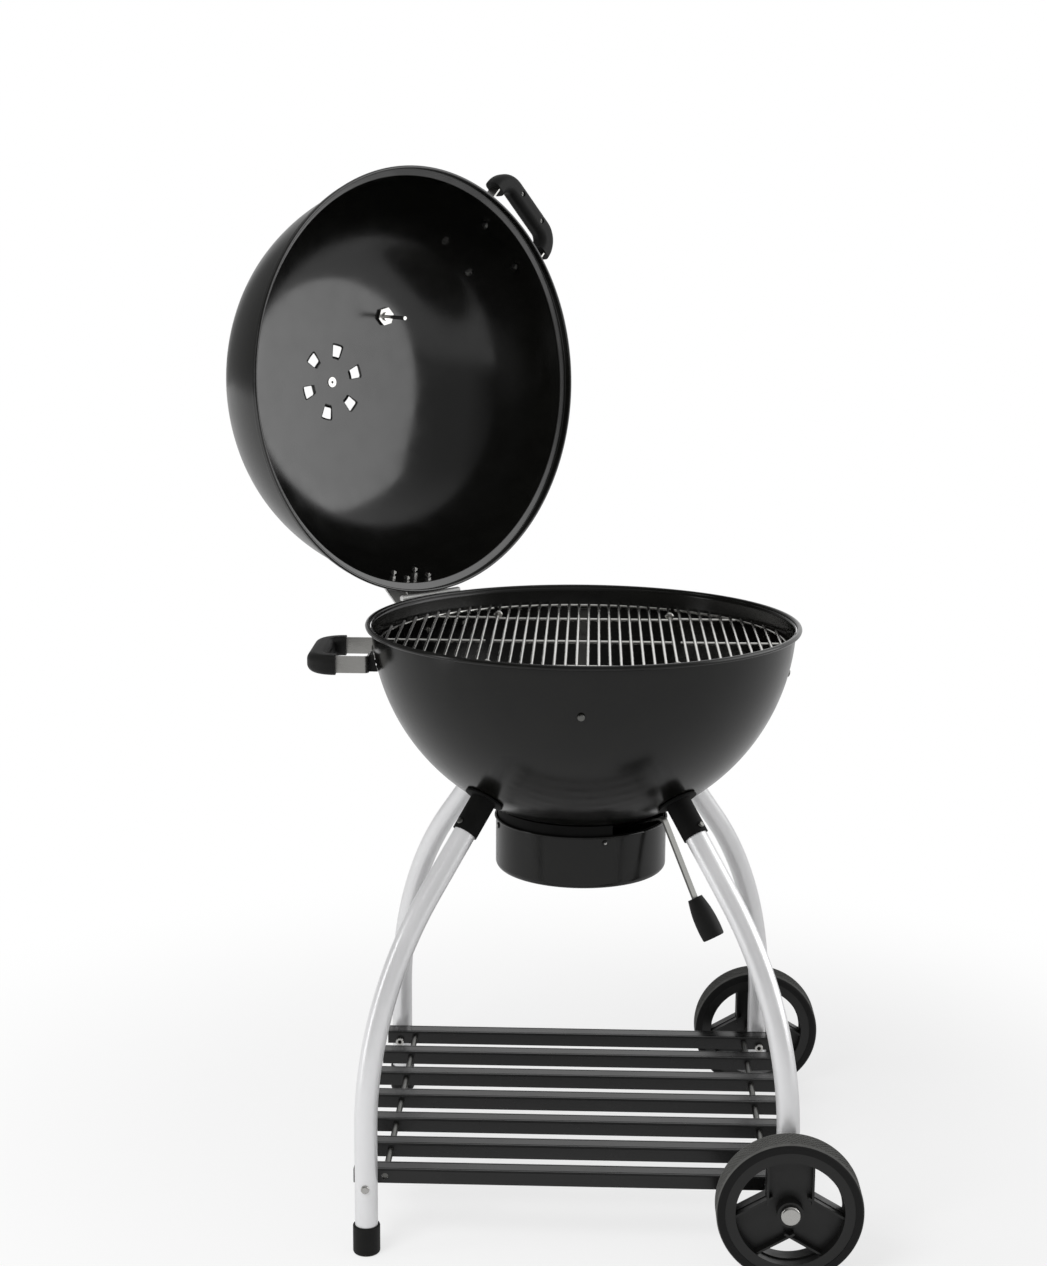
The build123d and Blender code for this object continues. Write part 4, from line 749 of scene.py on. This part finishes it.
def written(number, angle):
    """Flat points and faces of a number, its foot towards the dial's middle, turned to an angle."""
    text = bpy.data.curves.new("dial_number", "FONT")
    text.body, text.size = str(number), NUMBER_HEIGHT
    text.align_x, text.align_y = "CENTER", "CENTER"
    writing = bpy.data.objects.new("dial_number", text)
    bpy.context.scene.collection.objects.link(writing)
    bpy.context.view_layer.update()
    mesh = bpy.data.meshes.new_from_object(writing)
    x, y = mesh_points(mesh)[:, 0], mesh_points(mesh)[:, 1] + NUMBER_R
    faces = [tuple(face.vertices) for face in mesh.polygons]
    bpy.data.objects.remove(writing)
    bpy.data.meshes.remove(mesh)
    turn = angle - math.pi / 2
    turned = [x * math.cos(turn) - y * math.sin(turn), x * math.sin(turn) + y * math.cos(turn)]
    return np.stack(turned, axis=1), faces


dress(["thermometer_case"], polished_steel())
dress(["thermometer_glass"], clear_glass())
dress(["thermometer_pointer"], nylon)
dress(["thermometer_nut"], stainless)
dial_normal = np.array(pointer_joint["axis"]) / np.linalg.norm(pointer_joint["axis"])
dial_x = swung(HINGE_AT + level_across(THERMO_TURN)) - HINGE_AT
dial_axes = [dial_x, np.cross(dial_normal, dial_x), dial_normal]
pivot = np.array(pointer_joint["pos_m"])
case_top = (mesh_points(nodes["thermometer_case"].data) @ dial_normal).max()
dial_centre = pivot + dial_normal * (case_top - DIAL_DEEP - pivot @ dial_normal)
disc_top = [[0, DIAL_SHEET], [DIAL_R / 2, DIAL_SHEET], [DIAL_R - DIAL_SHEET, DIAL_SHEET]]
disc = spin(np.array(disc_top + [[DIAL_R, 0], [0, 0]]), full_turn(DIAL_STEPS))
put("thermometer_dial", [aimed(disc, dial_centre, dial_axes)], "lid", dial_paint(),
    sharp=CREASE)
tick_angle = SWEEP * np.arange(TICKS) / (TICKS - 1)
tick_half = np.where(np.arange(TICKS) % BROAD_EVERY == 0, TICK_HALF[1], TICK_HALF[0])
ray = np.stack([np.cos(tick_angle), np.sin(tick_angle)], axis=1)
beside = np.stack([-ray[:, 1], ray[:, 0]], axis=1) * tick_half[:, None]
ends = np.stack([ray * TICK_RING[0], ray * TICK_RING[1]], axis=1)
ticks = np.stack([ends - beside[:, None], ends + beside[:, None]], axis=2)
ink_points = ticks.reshape(-1, 2)
ink_faces = (4 * np.arange(TICKS)[:, None] + [0, 2, 3, 1]).tolist()
for number in range(NUMBERS):
    outline, faces = written(number * NUMBER_STEP, SWEEP * number / (NUMBERS - 1))
    ink_faces += [[index + len(ink_points) for index in face] for face in faces]
    ink_points = np.concatenate([ink_points, outline])
ink_flat = np.insert(ink_points, 2, DIAL_SHEET + INK_LIFT, axis=1)
ink_mesh = bpy.data.meshes.new("thermometer_scale")
ink_mesh.from_pydata(aimed(ink_flat, dial_centre, dial_axes).tolist(), [], ink_faces)
ink_mesh.materials.append(dial_ink())
scale = bpy.data.objects.new("thermometer_scale", ink_mesh)
bpy.context.scene.collection.objects.link(scale)
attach(scale, "lid")


# Studio. A pale floor that keeps the grill's shadow, and a white surround that metal and glass see too.
# The light is soft: the surround's own, a key lamp, and two lamps at the sides for the highlights.
FLOOR_HALF = 12.0
SHADOW_REACH = (0.5, 1.5)   # metres from the middle between which the floor fades to plain white
SHADOW_WHITE = 0.72         # share of plain white where the shadow lies
FLOOR_MIRROR = 0.7          # level of the floor in reflections
SKY_LIGHT = 0.45            # level of the surround as light
# By axis: the span of a mirrored ray's direction, and the surround's level at its two ends
MIRROR_RAMPS = {"Y": ((-0.6, 0.35), (0.3, 1.0)), "X": ((-0.55, 0.0), (0.2, 1.0))}


def studio_world():
    """Surround that is white to the camera and grey as light.

    In reflections its level is the product of two ramps: it falls towards the front and the left."""
    world = bpy.data.worlds.new("white_surround")
    bpy.context.scene.world = world
    world.use_nodes = True
    tree = world.node_tree
    tree.nodes.clear()
    path = add(tree, "ShaderNodeLightPath")
    place = add(tree, "ShaderNodeTexCoord").outputs["Generated"]
    ray = add(tree, "ShaderNodeSeparateXYZ", {"Vector": place})
    ramps = []
    for axis, (span, level) in MIRROR_RAMPS.items():
        ramp = {"Value": ray.outputs[axis], "From Min": span[0], "From Max": span[1],
                "To Min": level[0], "To Max": level[1]}
        ramps.append(add(tree, "ShaderNodeMapRange", ramp).outputs[0])
    mirror = add(tree, "ShaderNodeMath", {0: ramps[0], 1: ramps[1]}, operation="MULTIPLY").outputs[0]
    lit = add(tree, "ShaderNodeMix", {0: path.outputs["Is Glossy Ray"], 2: SKY_LIGHT, 3: mirror}).outputs[0]
    direct = {0: path.outputs["Is Camera Ray"], 1: path.outputs["Is Transmission Ray"]}
    plain = add(tree, "ShaderNodeMath", direct, operation="MAXIMUM").outputs[0]
    strength = add(tree, "ShaderNodeMix", {0: plain, 2: lit, 3: 1.0}).outputs[0]
    sky = add(tree, "ShaderNodeBackground", {"Color": (1, 1, 1, 1), "Strength": strength})
    add(tree, "ShaderNodeOutputWorld", {"Surface": sky.outputs[0]})


def pale_floor():
    """Matt white floor that keeps a soft shadow near the grill and fades to plain white away from it."""
    material = bpy.data.materials.new("pale_floor")
    material.cycles.emission_sampling = "NONE"
    material.use_nodes = True
    tree = material.node_tree
    tree.nodes.clear()
    matt = add(tree, "ShaderNodeBsdfDiffuse", {"Color": linear("#f4f4f4")})
    path = add(tree, "ShaderNodeLightPath")
    level = {"Value": path.outputs["Is Glossy Ray"], "To Min": 1.0, "To Max": FLOOR_MIRROR}
    bright = add(tree, "ShaderNodeMapRange", level).outputs[0]
    glow = add(tree, "ShaderNodeEmission", {"Color": (1, 1, 1, 1), "Strength": bright})
    rays = {0: path.outputs["Is Camera Ray"], 1: path.outputs["Is Glossy Ray"]}
    seen = add(tree, "ShaderNodeMath", rays, operation="MAXIMUM").outputs[0]
    place = add(tree, "ShaderNodeTexCoord").outputs["Object"]
    away = add(tree, "ShaderNodeVectorMath", {0: place}, operation="LENGTH").outputs["Value"]
    fade = {"Value": away, "From Min": SHADOW_REACH[0], "From Max": SHADOW_REACH[1],
            "To Min": SHADOW_WHITE, "To Max": 1.0}
    white = add(tree, "ShaderNodeMapRange", fade, interpolation_type="SMOOTHSTEP").outputs[0]
    share = add(tree, "ShaderNodeMath", {0: seen, 1: white}, operation="MULTIPLY").outputs[0]
    mixed = add(tree, "ShaderNodeMixShader", {0: share, 1: matt.outputs[0], 2: glow.outputs[0]})
    add(tree, "ShaderNodeOutputMaterial", {"Surface": mixed.outputs[0]})
    return material


def lamp(name, place, aim, size, power):
    """Rectangular soft lamp at a place, turned to a point."""
    light = bpy.data.lights.new(name, "AREA")
    light.shape = "RECTANGLE"
    light.size, light.size_y = size
    light.energy = power
    thing = bpy.data.objects.new(name, light)
    thing.location = place
    thing.rotation_euler = (Vector(aim) - Vector(place)).to_track_quat("-Z", "Y").to_euler()
    bpy.context.scene.collection.objects.link(thing)
    return thing


studio_world()
floor_corners = [(x * FLOOR_HALF, y * FLOOR_HALF, 0) for x, y in ((-1, -1), (1, -1), (1, 1), (-1, 1))]
floor_mesh = bpy.data.meshes.new("studio_floor")
floor_mesh.from_pydata(floor_corners, [], [(0, 1, 2, 3)])
floor_mesh.materials.append(pale_floor())
floor = bpy.data.objects.new("studio_floor", floor_mesh)
bpy.context.scene.collection.objects.link(floor)
key = lamp("key_lamp", place=(-1.8, -2.6, 3.2), aim=(0, 0, 0.8), size=(1.8, 1.8), power=90)
key.visible_glossy = False
softbox = lamp("right_softbox", place=(3.2, 0.15, 2.0), aim=(0, 0.15, 2.0), size=(2.9, 3.0), power=55)
softbox.visible_diffuse = False
lamp("left_strip", place=(-3.0, -0.9, 1.2), aim=(0, 0, 0.9), size=(0.5, 2.4), power=11)


# Camera. Where the photograph was taken from: about 3.2 m in front and 1.44 m up, with a slight roll.
# Place, aim and lens are fitted to the rim's ellipse, the legs and the slats in the photograph.
LENS = 62.91
SENSOR = 36.0
CAMERA_AT = Vector((0.0135, -3.1462, 1.4434))
CAMERA_AIM = Vector((-0.0863, -0.0004, 0.8255))
CAMERA_ROLL = 0.0063        # radians
ahead = (CAMERA_AIM - CAMERA_AT).normalized()
right = ahead.cross(Vector((0, 0, 1))).normalized()
up = right.cross(ahead)
tilted_right = right * math.cos(CAMERA_ROLL) + up * math.sin(CAMERA_ROLL)
tilted_up = up * math.cos(CAMERA_ROLL) - right * math.sin(CAMERA_ROLL)
turn = Matrix((tilted_right, tilted_up, -ahead)).transposed()
camera_data = bpy.data.cameras.new("photo_camera")
camera_data.lens = LENS
camera_data.sensor_width = SENSOR
camera = bpy.data.objects.new("photo_camera", camera_data)
camera.matrix_world = Matrix.Translation(CAMERA_AT) @ turn.to_4x4()
bpy.context.scene.collection.objects.link(camera)
bpy.context.scene.camera = camera
bpy.context.scene.view_settings.view_transform = "Standard"
